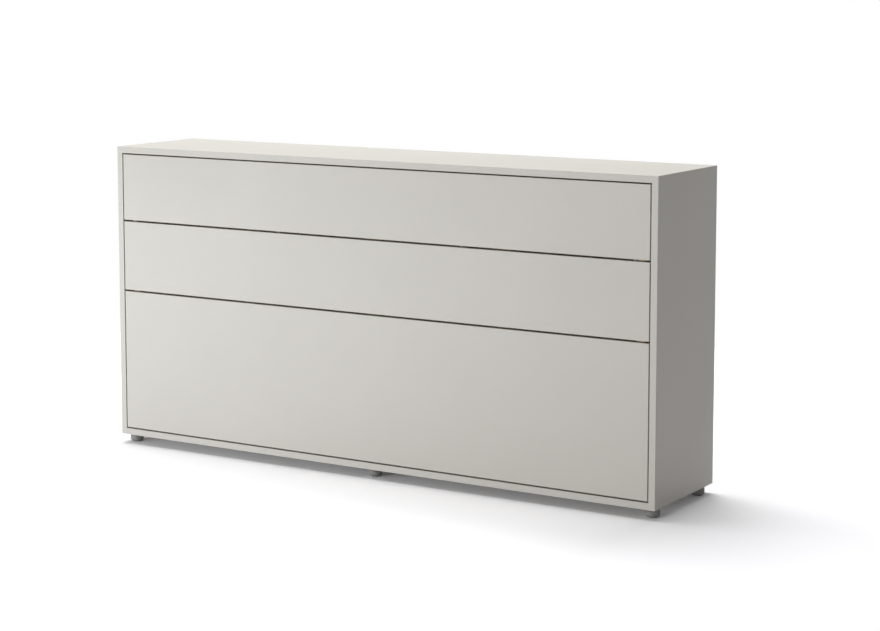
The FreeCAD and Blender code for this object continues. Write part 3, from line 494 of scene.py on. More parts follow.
@dataclass(frozen=True)
class PlanedWood(Finish):
    """Wood planed along its grain: pale early wood with darker lines of late wood.

    The sizes that it starts with are those of Scots pine.

    Attributes:
        grain: the way the wood's length runs.
        late_colour: colour of the late wood.
        ring_long_mm: how far a growth line runs before it turns.
        ring_wide_mm: how far apart the waves of a growth line are, across the grain.
        rings: number of lines over one wave.
        late_power: how narrow the late wood of a line is; higher is narrower.
        pore_long_mm: length of a fibre streak.
        pore_wide_mm: its width, drawn twice the real one, to show.
        pore_depth_mm: its depth.
        pore_range: height of the noise at which a streak starts and is full.
        pore_share: how much of its colour then shows.
    """

    grain: Axis = Axis.LENGTH
    late_colour: str = "#C79F69"
    ring_long_mm: float = 900.0
    ring_wide_mm: float = 55.0
    rings: float = 11.0
    late_power: float = 2.2
    pore_long_mm: float = 28.0
    pore_wide_mm: float = 1.1
    pore_depth_mm: float = 0.1
    pore_range: tuple[float, float] = (0.45, 0.75)
    pore_share: float = 0.35

    def stretched(self, long_mm: float, wide_mm: float) -> tuple[float, ...]:
        """Returns a mapping scale that is long along the grain and narrow across."""
        return tuple(per(long_mm if axis is self.grain else wide_mm) for axis in Axis)

    def pattern(self, tree: NodeTree, shader: Node, place: NodeSocket) -> None:
        """Adds growth lines, as contours of a stretched noise, and fibre streaks."""
        ring_place = add_node(tree, "Mapping", {
            "Vector": place,
            "Scale": self.stretched(self.ring_long_mm, self.ring_wide_mm),
        })
        hills = add_node(
            tree, "TexNoise",
            {"Vector": ring_place.outputs[0], "Scale": 1.0, "Detail": 1.5},
        )
        lines = add_node(
            tree, "Math", {0: hills.outputs["Fac"], 1: self.rings}, operation="MULTIPLY"
        )
        folded = add_node(
            tree, "Math", {0: lines.outputs[0], 1: 1.0}, operation="PINGPONG"
        )
        late = add_node(
            tree, "Math", {0: folded.outputs[0], 1: self.late_power}, operation="POWER"
        )
        rings = add_node(tree, "Mix", {
            0: late.outputs[0], MIX_FROM: linear(self.colour),
            MIX_TO: linear(self.late_colour),
        }, data_type="RGBA")
        pore_place = add_node(tree, "Mapping", {
            "Vector": place,
            "Scale": self.stretched(self.pore_long_mm, self.pore_wide_mm),
        })
        pores = add_node(
            tree, "TexNoise",
            {"Vector": pore_place.outputs[0], "Scale": 1.0, "Detail": 2.0},
        )
        streak = add_node(tree, "MapRange", {
            "Value": pores.outputs["Fac"], "From Min": self.pore_range[0],
            "From Max": self.pore_range[1], "To Max": self.pore_share,
        })
        colour = add_node(tree, "Mix", {
            0: streak.outputs["Result"], MIX_FROM: rings.outputs[MIX_RESULT],
            MIX_TO: linear(self.late_colour),
        }, data_type="RGBA")
        bump = add_node(tree, "Bump", {
            "Height": pores.outputs["Fac"], "Distance": self.pore_depth_mm / 1000,
            "Strength": 0.4,
        })
        painted = {"Base Color": colour.outputs[MIX_RESULT], "Normal": bump.outputs[0]}
        feed(tree, shader, painted)


@dataclass(frozen=True)
class BeechPlywood(PlanedWood):
    """Beech veneers glued and pressed: even pink-brown, short flecks, ply lines.

    The sizes of its grain and flecks are the ones that PlanedWood explains.

    Attributes:
        late_colour: colour of the flecks.
        glue_colour: colour of the glue lines on the edges.
        ply_mm: thickness of a veneer.
        glue_share: share of that thickness which its glue line takes.
    """

    late_colour: str = "#B4865B"
    glue_colour: str = "#8F6743"
    ply_mm: float = 1.4
    glue_share: float = 0.12
    ring_long_mm: float = 500.0
    ring_wide_mm: float = 80.0
    rings: float = 3.0
    pore_long_mm: float = 6.0
    pore_wide_mm: float = 0.8

    def pattern(self, tree: NodeTree, shader: Node, place: NodeSocket) -> None:
        """Adds glue lines, layer by layer, over the flecks."""
        super().pattern(tree, shader, place)
        fleck = shader.inputs["Base Color"].links[0].from_socket
        parts = add_node(tree, "SeparateXYZ", {"Vector": place})
        layer = add_node(
            tree, "Math", {0: parts.outputs[Axis.DEPTH.value], 1: per(self.ply_mm)},
            operation="MULTIPLY",
        )
        within = add_node(tree, "Math", {0: layer.outputs[0]}, operation="FRACT")
        glue = add_node(
            tree, "Math", {0: within.outputs[0], 1: self.glue_share},
            operation="LESS_THAN",
        )
        colour = add_node(
            tree, "Mix",
            {0: glue.outputs[0], MIX_FROM: fleck, MIX_TO: linear(self.glue_colour)},
            data_type="RGBA",
        )
        feed(tree, shader, {"Base Color": colour.outputs[MIX_RESULT]})


@dataclass(frozen=True)
class SpeckledSurface(Finish):
    """A surface whose pattern is one fine bump and one slow change of tone.

    It suits moulded plastic, powder coat, enamel, zinc and chrome, which differ in
    colour, gloss, and how coarse and deep these two are.

    Attributes:
        fine_mm: width of a bump: spark-eroded mould texture, orange peel or spangle.
        fine_depth_mm: how deep it is.
        slow_mm: width of the changes of tone.
        slow_colour: the tone at the darker end of that change.
        gloss_change: how far the roughness varies with it.
        coat: weight of a clear coat.
    """

    fine_mm: float = 1.0
    fine_depth_mm: float = 0.03
    slow_mm: float = 40.0
    slow_colour: str = "#000000"
    gloss_change: float = 0.05
    coat: float = 0.0

    def pattern(self, tree: NodeTree, shader: Node, place: NodeSocket) -> None:
        """Adds the fine bump, and the slow change of tone and gloss."""
        slow = add_node(
            tree, "TexNoise",
            {"Vector": place, "Scale": per(self.slow_mm), "Detail": 4.0},
        )
        tone = add_node(tree, "Mix", {
            0: slow.outputs["Fac"], MIX_FROM: linear(self.colour),
            MIX_TO: linear(self.slow_colour),
        }, data_type="RGBA")
        gloss = add_node(tree, "MapRange", {
            "Value": slow.outputs["Fac"], "To Min": self.roughness - self.gloss_change,
            "To Max": self.roughness + self.gloss_change,
        })
        fine = add_node(
            tree, "TexNoise",
            {"Vector": place, "Scale": per(self.fine_mm), "Detail": 1.0},
        )
        bump = add_node(tree, "Bump", {
            "Height": fine.outputs["Fac"], "Distance": self.fine_depth_mm / 1000,
            "Strength": 0.6,
        })
        feed(tree, shader, {
            "Base Color": tone.outputs[MIX_RESULT],
            "Roughness": gloss.outputs["Result"], "Normal": bump.outputs["Normal"],
            "Coat Weight": self.coat,
        })


@dataclass(frozen=True)
class KnittedTicking(Finish):
    """Knitted polyester mattress ticking: soft, matt, with rows of small loops.

    Attributes:
        loop_mm: width of a loop, drawn about twice its real width.
        row_mm: height of a row of loops.
        painted_loop_shade: colour of painted shade towards the edge of each loop, where
            the loops meet.
        thread_and_shade_colour: colour of the quilting thread, darkened with painted
            shade of the sewn groove.
        lattice: X and Z of one crossing of the quilting, and how far apart the
            crossings are along X; no thread is drawn where the last is 0.
        thread_half_mm: half the width of the thread.
        stitch_mm: half of a stitch and the gap after it.
        sewn_mm: half of the stitch alone.
        knit_depth_mm: how deep the loops are.
    """

    loop_mm: float = 3.2
    row_mm: float = 4.2
    painted_loop_shade: str = "#D3CFC6"
    thread_and_shade_colour: str = "#B9B3A6"
    lattice: tuple[float, float, float] = (0.0, 0.0, 0.0)
    thread_half_mm: float = 1.3
    stitch_mm: float = 7.0
    sewn_mm: float = 5.0
    knit_depth_mm: float = 0.6

    def pattern(self, tree: NodeTree, shader: Node, place: NodeSocket) -> None:
        """Adds the rows of loops, with painted shade where they meet, and the sewn
        lines.
        """
        rows = add_node(tree, "TexWave", {
            "Vector": place, "Scale": per(self.row_mm) * WAVE_SCALE, "Distortion": 0.4,
        }, bands_direction="X")
        loops = add_node(
            tree, "TexVoronoi",
            {"Vector": place, "Scale": per(self.loop_mm), "Randomness": 0.35},
        )
        height = add_node(
            tree, "Math", {0: loops.outputs["Distance"], 1: rows.outputs["Fac"]},
            operation="SUBTRACT",
        )
        # Painted shade: the cloth darkens towards the edge of each loop, where the
        # loops meet.
        cloth = add_node(tree, "Mix", {
            0: loops.outputs["Distance"], MIX_FROM: linear(self.colour),
            MIX_TO: linear(self.painted_loop_shade),
        }, data_type="RGBA")
        colour = cloth.outputs[MIX_RESULT]
        if self.lattice[2]:
            colour = self.sewn(tree, place, colour)
        bump = add_node(tree, "Bump", {
            "Height": height.outputs[0], "Distance": self.knit_depth_mm / 1000,
            "Strength": 0.35,
        })
        feed(tree, shader, {
            "Base Color": colour, "Normal": bump.outputs["Normal"],
            "Sheen Weight": 0.25, "Sheen Roughness": 0.5,
        })

    def sewn(self, tree: NodeTree, place: NodeSocket, cloth: NodeSocket) -> NodeSocket:
        """Draws the quilting thread as dashes along the two ways of the lattice,
        darkened with painted shade of the sewn groove.

        Args:
            tree: the material's node tree.
            place: the Object coordinates, in metres.
            cloth: the cloth's colour.

        Returns:
            The colour of cloth and thread.
        """
        at_x, at_z, step = self.lattice
        parts = add_node(tree, "SeparateXYZ", {"Vector": place})
        across = add_node(
            tree, "Math", {0: parts.outputs["X"], 1: at_x}, operation="SUBTRACT"
        )
        up = add_node(
            tree, "Math", {0: parts.outputs["Z"], 1: at_z}, operation="SUBTRACT"
        )
        ways = [
            add_node(
                tree, "Math", {0: across.outputs[0], 1: up.outputs[0]},
                operation=operation,
            ).outputs[0]
            for operation in ("ADD", "SUBTRACT")
        ]
        for line, along in (ways, reversed(ways)):
            off_line = add_node(
                tree, "Math", {0: line, 1: step / 2}, operation="PINGPONG"
            )
            on_line = add_node(
                tree, "Math", {0: off_line.outputs[0], 1: self.thread_half_mm / 1000},
                operation="LESS_THAN",
            )
            stitch = add_node(
                tree, "Math", {0: along, 1: self.stitch_mm / 1000}, operation="PINGPONG"
            )
            dash = add_node(
                tree, "Math", {0: stitch.outputs[0], 1: self.sewn_mm / 1000},
                operation="LESS_THAN",
            )
            thread = add_node(
                tree, "Math", {0: on_line.outputs[0], 1: dash.outputs[0]},
                operation="MULTIPLY",
            )
            # The dashes show the thread, darkened with painted shade of the sewn
            # groove.
            mixed = add_node(tree, "Mix", {
                0: thread.outputs[0], MIX_FROM: cloth,
                MIX_TO: linear(self.thread_and_shade_colour),
            }, data_type="RGBA")
            cloth = mixed.outputs[MIX_RESULT]
        return cloth


@dataclass(frozen=True)
class PolyesterWebbing(Finish):
    """Flat woven polyester webbing: dull, dark and ribbed.

    Its yarns follow the UV map that the mesh is rendered with. On the straps that
    is still the first sheet's own map, and not the one in metres that is written
    for them, so the yarns come out far finer than these sizes.

    Attributes:
        yarn_mm: spacing of the warp yarns.
        pick_mm: spacing of the weft.
        weave_depth_mm: how deep the grooves between them are.
        painted_groove_shade: colour of painted shade in the grooves between the yarns.
    """

    yarn_mm: float = 2.4
    pick_mm: float = 3.2
    weave_depth_mm: float = 0.4
    painted_groove_shade: str = "#35342F"

    def pattern(self, tree: NodeTree, shader: Node, place: NodeSocket) -> None:
        """Adds warp ridges crossed by picks, along the UV map, with painted shade in
        the grooves.
        """
        laid = add_node(tree, "TexCoord").outputs["UV"]
        parts = add_node(tree, "SeparateXYZ", {"Vector": laid})
        ridges = []
        for socket, spacing in (("X", self.yarn_mm), ("Y", self.pick_mm)):
            turned = add_node(
                tree, "Math", {0: parts.outputs[socket], 1: per(spacing) * math.tau},
                operation="MULTIPLY",
            )
            ridge = add_node(tree, "Math", {0: turned.outputs[0]}, operation="SINE")
            ridges.append(ridge.outputs[0])
        weave = add_node(
            tree, "Math", {0: ridges[0], 1: ridges[1]}, operation="MULTIPLY"
        )
        share = add_node(
            tree, "MapRange",
            {"Value": weave.outputs[0], "From Min": -1.0, "From Max": 1.0},
        )
        # Painted shade: the webbing darkens where the weave is low, in the grooves
        # between the yarns.
        colour = add_node(tree, "Mix", {
            0: share.outputs["Result"], MIX_FROM: linear(self.painted_groove_shade),
            MIX_TO: linear(self.colour),
        }, data_type="RGBA")
        bump = add_node(tree, "Bump", {
            "Height": share.outputs["Result"], "Distance": self.weave_depth_mm / 1000,
            "Strength": 0.6,
        })
        feed(tree, shader, {
            "Base Color": colour.outputs[MIX_RESULT], "Normal": bump.outputs["Normal"],
            "Sheen Weight": 0.15,
        })


# The boards and strips, matched to the photographed shade under its light.
BOARD_COLOUR = "#D1CDC4"


class Metalwork:
    """The finishes of fittings, each made once and shared."""

    # Zinc plated and passivated: a bright satin grey with a fine spangle.
    zinc = SpeckledSurface(
        "zinc_plated_steel_blue_passivated", "#C9CCCF", 0.34, metallic=1.0, fine_mm=0.8,
        fine_depth_mm=0.01, slow_mm=9.0, slow_colour="#A9ADB0", gloss_change=0.08,
    ).material()
    # Powder coated and baked: an even, dull dark grey with orange peel.
    powder = SpeckledSurface(
        "powder_coated_steel_anthracite", "#4A4B4C", 0.48, fine_mm=1.3,
        fine_depth_mm=0.05, slow_mm=60.0, slow_colour="#434445",
    ).material()
    # Stoved enamel on a drawn tube: a smooth black with a clear highlight.
    enamel = SpeckledSurface(
        "stoved_enamel_tube_black", "#1B1C1E", 0.22, fine_mm=4.0, fine_depth_mm=0.02,
        slow_mm=30.0, slow_colour="#222326", coat=0.4,
    ).material()
    # Hard chromed and ground: a mirror with a very slight blur.
    chrome = SpeckledSurface(
        "hard_chromed_rod_ground", "#DADCDE", 0.12, metallic=1.0, fine_mm=0.5,
        fine_depth_mm=0.003, slow_mm=12.0, slow_colour="#CACDD0", gloss_change=0.03,
    ).material()


class Plastics:
    """The moulded plastics, each made once and shared."""

    # Polypropylene from a spark-eroded mould: a soft, slightly waxy white.
    white = SpeckledSurface(
        "polypropylene_white_moulded", "#E6E5E0", 0.42, fine_mm=0.9, fine_depth_mm=0.03,
        slow_mm=25.0, slow_colour="#DEDDD7",
    ).material()
    # ABS from the same kind of mould: a matt mid grey.
    grey = SpeckledSurface(
        "abs_grey_moulded", "#8E8E8A", 0.5, fine_mm=0.9, fine_depth_mm=0.05,
        slow_mm=18.0, slow_colour="#868681",
    ).material()
    # Acetal, moulded: a dense black with a low sheen.
    black = SpeckledSurface(
        "acetal_black_moulded", "#26272A", 0.38, fine_mm=0.8, fine_depth_mm=0.03,
        slow_mm=20.0, slow_colour="#2E2F32",
    ).material()


# ----------------------------------------------------------- sub-assemblies of CAD


def dress(nodes: Iterable[str], material: Material) -> None:
    """Gives CAD nodes a material.

    Args:
        nodes: the nodes' names.
        material: what they are finished with.
    """
    for name in nodes:
        cover_with(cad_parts[name], material)
        log.info("%s: %s", name, material.name)


@dataclass
class Cabinet:
    """The mitred cabinet, its backs, rails and fittings.

    Attributes:
        front: Y of the boards' front edges.
        band: thickness of the edge band on them.
    """

    front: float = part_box("top_panel")[0].y
    band: float = 0.001

    def dress(self) -> None:
        """Finishes the cabinet's boards, backs and fittings."""
        joint = ((Axis.DEPTH, self.front + self.band),)
        # Melamine on the boards: matt, warm light grey, with a trace of pearl.
        boards = PearlMelamine(
            "melamine_board_greige", BOARD_COLOUR, 0.46, joints=joint
        )
        dress(
            ("side_panel_left", "side_panel_right", "top_panel", "bottom_panel"),
            boards.material(),
        )
        # The same on the rails inside, a shade darker and with no edge band.
        inner = PearlMelamine(
            "melamine_rail_greige", "#CDC9C1", 0.46, cloud_colour="#C6C2B9"
        )
        dress(("wall_rail", "lower_rear_rail", "stop_blocks"), inner.material())
        # Hardboard: smooth grey lacquer inside, coarse brown fibres behind.
        sheets = LacqueredHardboard("hardboard_lacquered_one_face", "#D2CEC6", 0.4)
        dress(
            ("back_panel_left", "back_panel_middle", "back_panel_right"),
            sheets.material(),
        )
        dress(("back_joint_profiles",), Plastics.white)
        dress(("bearing_bushes",), Plastics.black)
        dress(("bearing_plates",), Metalwork.powder)
        fittings = (
            "bracket_screws", "catch_magnets", "corner_brackets", "fitting_screws",
            "link_pivot_pins", "spring_studs",
        )
        dress(fittings, Metalwork.zinc)
        # Beech turned and fluted: pink-brown with short flecks.
        turned = PlanedWood(
            "beech_dowel_turned", "#D6B084", 0.55, late_colour="#B4865B",
            ring_wide_mm=80.0, rings=3.0, pore_long_mm=6.0, pore_wide_mm=0.8,
        )
        dress(("rail_dowels", "mitre_tongues"), turned.material())


@dataclass
class FrontStrips:
    """The three strips of the front, edge-banded all round.

    Attributes:
        band: thickness of the edge band.
    """

    band: float = 0.001

    def dress(self) -> None:
        """Finishes each strip, with its hairlines where its own edges are."""
        for name in ("front_panel_lower", "front_panel_middle", "front_panel_upper"):
            low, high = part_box(name)
            joints = (
                (Axis.LENGTH, low.x + self.band), (Axis.LENGTH, high.x - self.band),
                (Axis.HEIGHT, low.z + self.band), (Axis.HEIGHT, high.z - self.band),
            )
            # As on the boards, with a hairline along all four edges.
            strip = PearlMelamine(
                f"melamine_{name}_greige", BOARD_COLOUR, 0.46, joints=joints
            )
            dress((name,), strip.material())


@dataclass
class BedFrame:
    """Rails, battens, slats and the plates that carry the bed."""

    def dress(self) -> None:
        """Finishes wood by the way its grain runs, then the fittings."""
        # Pine planed and left bare: straw yellow, with long growth lines.
        lengthwise = PlanedWood("pine_planed_lengthwise", "#E3C99E", 0.5)
        upright = PlanedWood("pine_planed_upright", "#E3C99E", 0.5, grain=Axis.HEIGHT)
        dress(
            ("lower_long_rail", "upper_long_rail", "panel_battens", "leg_stiffener"),
            lengthwise.material(),
        )
        standing = (
            "cross_rail_left", "cross_rail_middle", "cross_rail_right",
            "end_rail_left", "end_rail_right",
        )
        dress(standing, upright.material())
        # Beech plywood sanded and sealed: flecked faces and layered edges.
        slats = BeechPlywood("beech_plywood_slat", "#DDB98E", 0.42, grain=Axis.HEIGHT)
        dress(("slats",), slats.material())
        dress(("slat_holders",), Plastics.white)
        dress(("pivot_plates", "leg_hinge_plates"), Metalwork.powder)
        dress(("panel_screws", "rod_studs", "strike_plates"), Metalwork.zinc)


@dataclass
class LegAndLinks:
    """The folding leg's fittings and the two links that turn it."""

    def dress(self) -> None:
        """Finishes brackets, pins, glides and links."""
        dress(("leg_brackets", "leg_link_left", "leg_link_right"), Metalwork.powder)
        dress(("link_end_pins", "leg_screws"), Metalwork.zinc)
        dress(("leg_glides",), Plastics.grey)


@dataclass
class GasSprings:
    """The two gas springs."""

    def dress(self) -> None:
        """Finishes the enamelled tubes and the chromed rods."""
        dress(("gas_cylinder_left", "gas_cylinder_right"), Metalwork.enamel)
        dress(("gas_rod_left", "gas_rod_right"), Metalwork.chrome)


@dataclass
class LevellingFeet:
    """The six feet and their collars."""

    def dress(self) -> None:
        """Finishes feet and collars in moulded grey plastic."""
        feet = [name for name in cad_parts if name.startswith("foot_")]
        dress(sorted(feet), Plastics.grey)


# ------------------------------------------------------------------- the mattress


@dataclass
class Mattress:
    """A foam mattress in a quilted cover, with piping round both faces.

    Attributes:
        low: lowest corner of the CAD mattress.
        high: its highest corner.
        shrink: how much smaller, on every side, the cover starts before it swells.
        corner: radius of its four corners, seen from above.
        voxel: mesh size of the cover before its subdivision.
        quilt_steps: voxels between two crossings of the quilting, along the bed.
        seam_share: how near a seam a point must lie to be sewn, in voxels.
        rim_slack: how far inside the rim a point is still sewn.
        pressure: pressure in the cloth simulation.
        frames: how many frames it runs for.
        swell_share: share of the room round the cover that it may fill.
        piping: radius of the piping.
        strap_half: half the width of a strap, where the cover is pressed down.
        strap_sink: how far the straps press it down.
        strap_gap: room left between a strap and the cover.
        strap_ease: how far beside a strap the cover has risen back.
        free_rise: how far it may rise there.
        facing: how squarely a part of the cover looks along Y to be quilted.
    """

    low: Vector = field(default_factory=lambda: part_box("mattress")[0])
    high: Vector = field(default_factory=lambda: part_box("mattress")[1])
    shrink: float = 0.010
    corner: float = 0.045
    voxel: float = 0.0115
    quilt_steps: int = 16
    seam_share: float = 0.45
    rim_slack: float = 0.001
    pressure: float = 4.0
    frames: int = 20
    swell_share: float = 0.95
    piping: float = 0.0035
    strap_half: float = 0.025
    strap_sink: float = 0.0025
    strap_gap: float = 0.0005
    strap_ease: float = 0.045
    free_rise: float = 0.02
    facing: float = 0.5

    def build(self) -> None:
        """Makes the padded cover and its piping, and dresses them."""
        cover = self.foam_block()
        lattice = self.sew(cover)
        self.swell(cover)
        self.press_under_straps(cover)
        apply_modifier(cover, "SUBSURF", levels=1, render_levels=1)
        smooth(cover, CLOTH_EDGE)
        self.dress(cover, lattice)
        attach(cover, "bed")
        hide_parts("mattress")
        log.info("%s: %d faces", cover.name, len(cover.data.polygons))
        cord = self.add_piping()
        across = Vector((0, self.high.y - self.low.y - 2 * self.shrink, 0))
        for ring in (cord, copy_of(cord, "mattress_piping_lying", across)):
            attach(ring, "bed")
            log.info("%s: %d faces", ring.name, len(ring.data.polygons))

    def foam_block(self) -> Object:
        """Returns a block with rounded corners, in small even faces."""
        inset = Vector((self.shrink,) * 3)
        block = add_block("mattress_cover", self.low + inset, self.high - inset)
        bpy.ops.object.mode_set(mode="EDIT")
        select_edges(block, lambda one, two: abs(one.y - two.y) > self.corner)
        bpy.ops.mesh.bevel(offset=self.corner, segments=8, affect="EDGES")
        bpy.ops.object.mode_set(mode="OBJECT")
        block.data.remesh_voxel_size = self.voxel
        pick(block)
        bpy.ops.object.voxel_remesh()
        return block

    def sew(self, cover: Object) -> tuple[float, float, float]:
        """Marks the sewn points, which the swelling leaves where they are.

        Args:
            cover: the cover, still flat.

        Returns:
            X and Z of a crossing of the quilting, and the distance between crossings.
        """
        places = vertex_places(cover.data)
        depths = places[:, 1]
        on_face = (depths < self.low.y + self.shrink + self.voxel / 3) | (
            depths > self.high.y - self.shrink - self.voxel / 3
        )
        middle = (self.low + self.high) / 2
        faces = places[on_face]
        away = np.abs(faces[:, 0] - middle.x) + np.abs(faces[:, 2] - middle.z)
        at_x, _, at_z = faces[away.argmin()]
        step = self.voxel * self.quilt_steps
        sewn = np.zeros(len(places), bool)
        for sign in (1, -1):
            way = (places[:, 0] - at_x) + sign * (places[:, 2] - at_z)
            off_line = np.abs((way + step / 2) % step - step / 2)
            sewn |= on_face & (off_line < self.voxel * self.seam_share)
        rim_from = self.high.y - middle.y - self.shrink - self.rim_slack
        rim = np.abs(depths - middle.y) > rim_from
        edge = np.maximum(
            np.abs(places[:, 0]) - (self.high.x - self.shrink - self.voxel),
            np.abs(places[:, 2] - middle.z)
            - (self.high.z - middle.z - self.shrink - self.voxel),
        )
        sewn |= rim & (edge > -self.rim_slack)
        group = cover.vertex_groups.new(name="sewn")
        group.add(np.nonzero(sewn)[0].tolist(), 1.0, "REPLACE")
        return float(at_x), float(at_z), step

    def swell(self, cover: Object) -> None:
        """Blows the cover up between its seams, no further than the CAD's box.

        Args:
            cover: the cover, with its sewn points marked.
        """
        rest = vertex_places(cover.data)
        cloth = cover.modifiers.new("swell", "CLOTH")
        cloth.settings.quality = 4
        cloth.settings.mass = 0.25
        cloth.settings.use_pressure = True
        cloth.settings.uniform_pressure_force = self.pressure
        cloth.settings.vertex_group_mass = "sewn"
        cloth.settings.effector_weights.gravity = 0.0
        cloth.point_cache.frame_start = 1
        cloth.point_cache.frame_end = self.frames
        for number in range(1, self.frames + 1):
            bpy.context.scene.frame_set(number)
        depsgraph = bpy.context.evaluated_depsgraph_get()
        swollen = vertex_places(cover.evaluated_get(depsgraph).data)
        cover.modifiers.remove(cloth)
        bpy.context.scene.frame_set(1)
        shift = swollen - rest
        length = np.linalg.norm(shift, axis=1)
        cap = self.shrink * self.swell_share
        never_zero = np.maximum(length, 1e-9)
        log.info("cover swells %.1f mm at most", 1000 * length.max())
        shift *= (cap * np.tanh(length / cap) / never_zero)[:, None]
        move_vertices(cover, rest + shift)

    def press_under_straps(self, cover: Object) -> None:
        """Presses the lying face and the rims down under each strap.

        Args:
            cover: the swollen cover.
        """
        places = vertex_places(cover.data)
        pressed = self.high.y - self.strap_sink - self.strap_gap
        for middle in STRAP_PLACES:
            off = np.abs(places[:, 0] - middle) - self.strap_half
            ease = np.clip(off / self.strap_ease, 0.0, 1.0)
            free = ease * ease * (3 - 2 * ease)
            top = pressed + self.free_rise * free
            places[:, 1] = np.minimum(places[:, 1], top)
        move_vertices(cover, places)

    def dress(self, cover: Object, lattice: tuple[float, float, float]) -> None:
        """Gives the two faces quilted ticking and the border a plain grey knit.

        Args:
            cover: the finished cover.
            lattice: the quilting's crossing and step, as sew returns it.
        """
        # Ticking quilted on wadding: soft natural white, with sewn lines darkened by
        # painted shade, and painted shade where the loops meet.
        quilted = KnittedTicking(
            "ticking_quilted_natural_white", "#EDEAE2", 0.85, lattice=lattice
        )
        # The same knit in grey round the sides, with no quilting, and painted shade
        # where the loops meet.
        border = KnittedTicking(
            "ticking_border_grey", "#BDB9B0", 0.85, painted_loop_shade="#A29E95"
        )
        cover_with(cover, quilted.material(), border.material())
        for face in cover.data.polygons:
            face.material_index = 0 if abs(face.normal.y) > self.facing else 1

    def add_piping(self) -> Object:
        """Returns a covered cord round the face that lies on the slats."""
        middle = (self.low + self.high) / 2
        middle.y = self.low.y + self.shrink
        reach = 2 * (self.shrink - self.piping / 2)
        width = self.high.x - self.low.x - reach
        height = self.high.z - self.low.z - reach
        ring = add_sheet("mattress_piping_back", middle, width, height)
        bpy.ops.object.mode_set(mode="EDIT")
        bpy.ops.mesh.select_all(action="SELECT")
        bpy.ops.mesh.bevel(offset=self.corner, segments=10, affect="VERTICES")
        bpy.ops.mesh.select_all(action="SELECT")
        bpy.ops.mesh.delete(type="ONLY_FACE")
        bpy.ops.object.mode_set(mode="OBJECT")
        pick(ring)
        bpy.ops.object.convert(target="CURVE")
        ring = bpy.context.object
        ring.data.bevel_depth = self.piping
        ring.data.bevel_resolution = 4
        bpy.ops.object.convert(target="MESH")
        ring = bpy.context.object
        settle(ring)
        smooth(ring, PIPING_EDGE)
        # The same knit over a cord: a thin darker line round each face, with painted
        # shade where the loops meet.
        cloth = KnittedTicking(
            "ticking_piping_grey", "#A8A49B", 0.85, painted_loop_shade="#8E8A81"
        )
        cover_with(ring, cloth.material())
        return ring


# --------------------------------------------------------------------- the straps


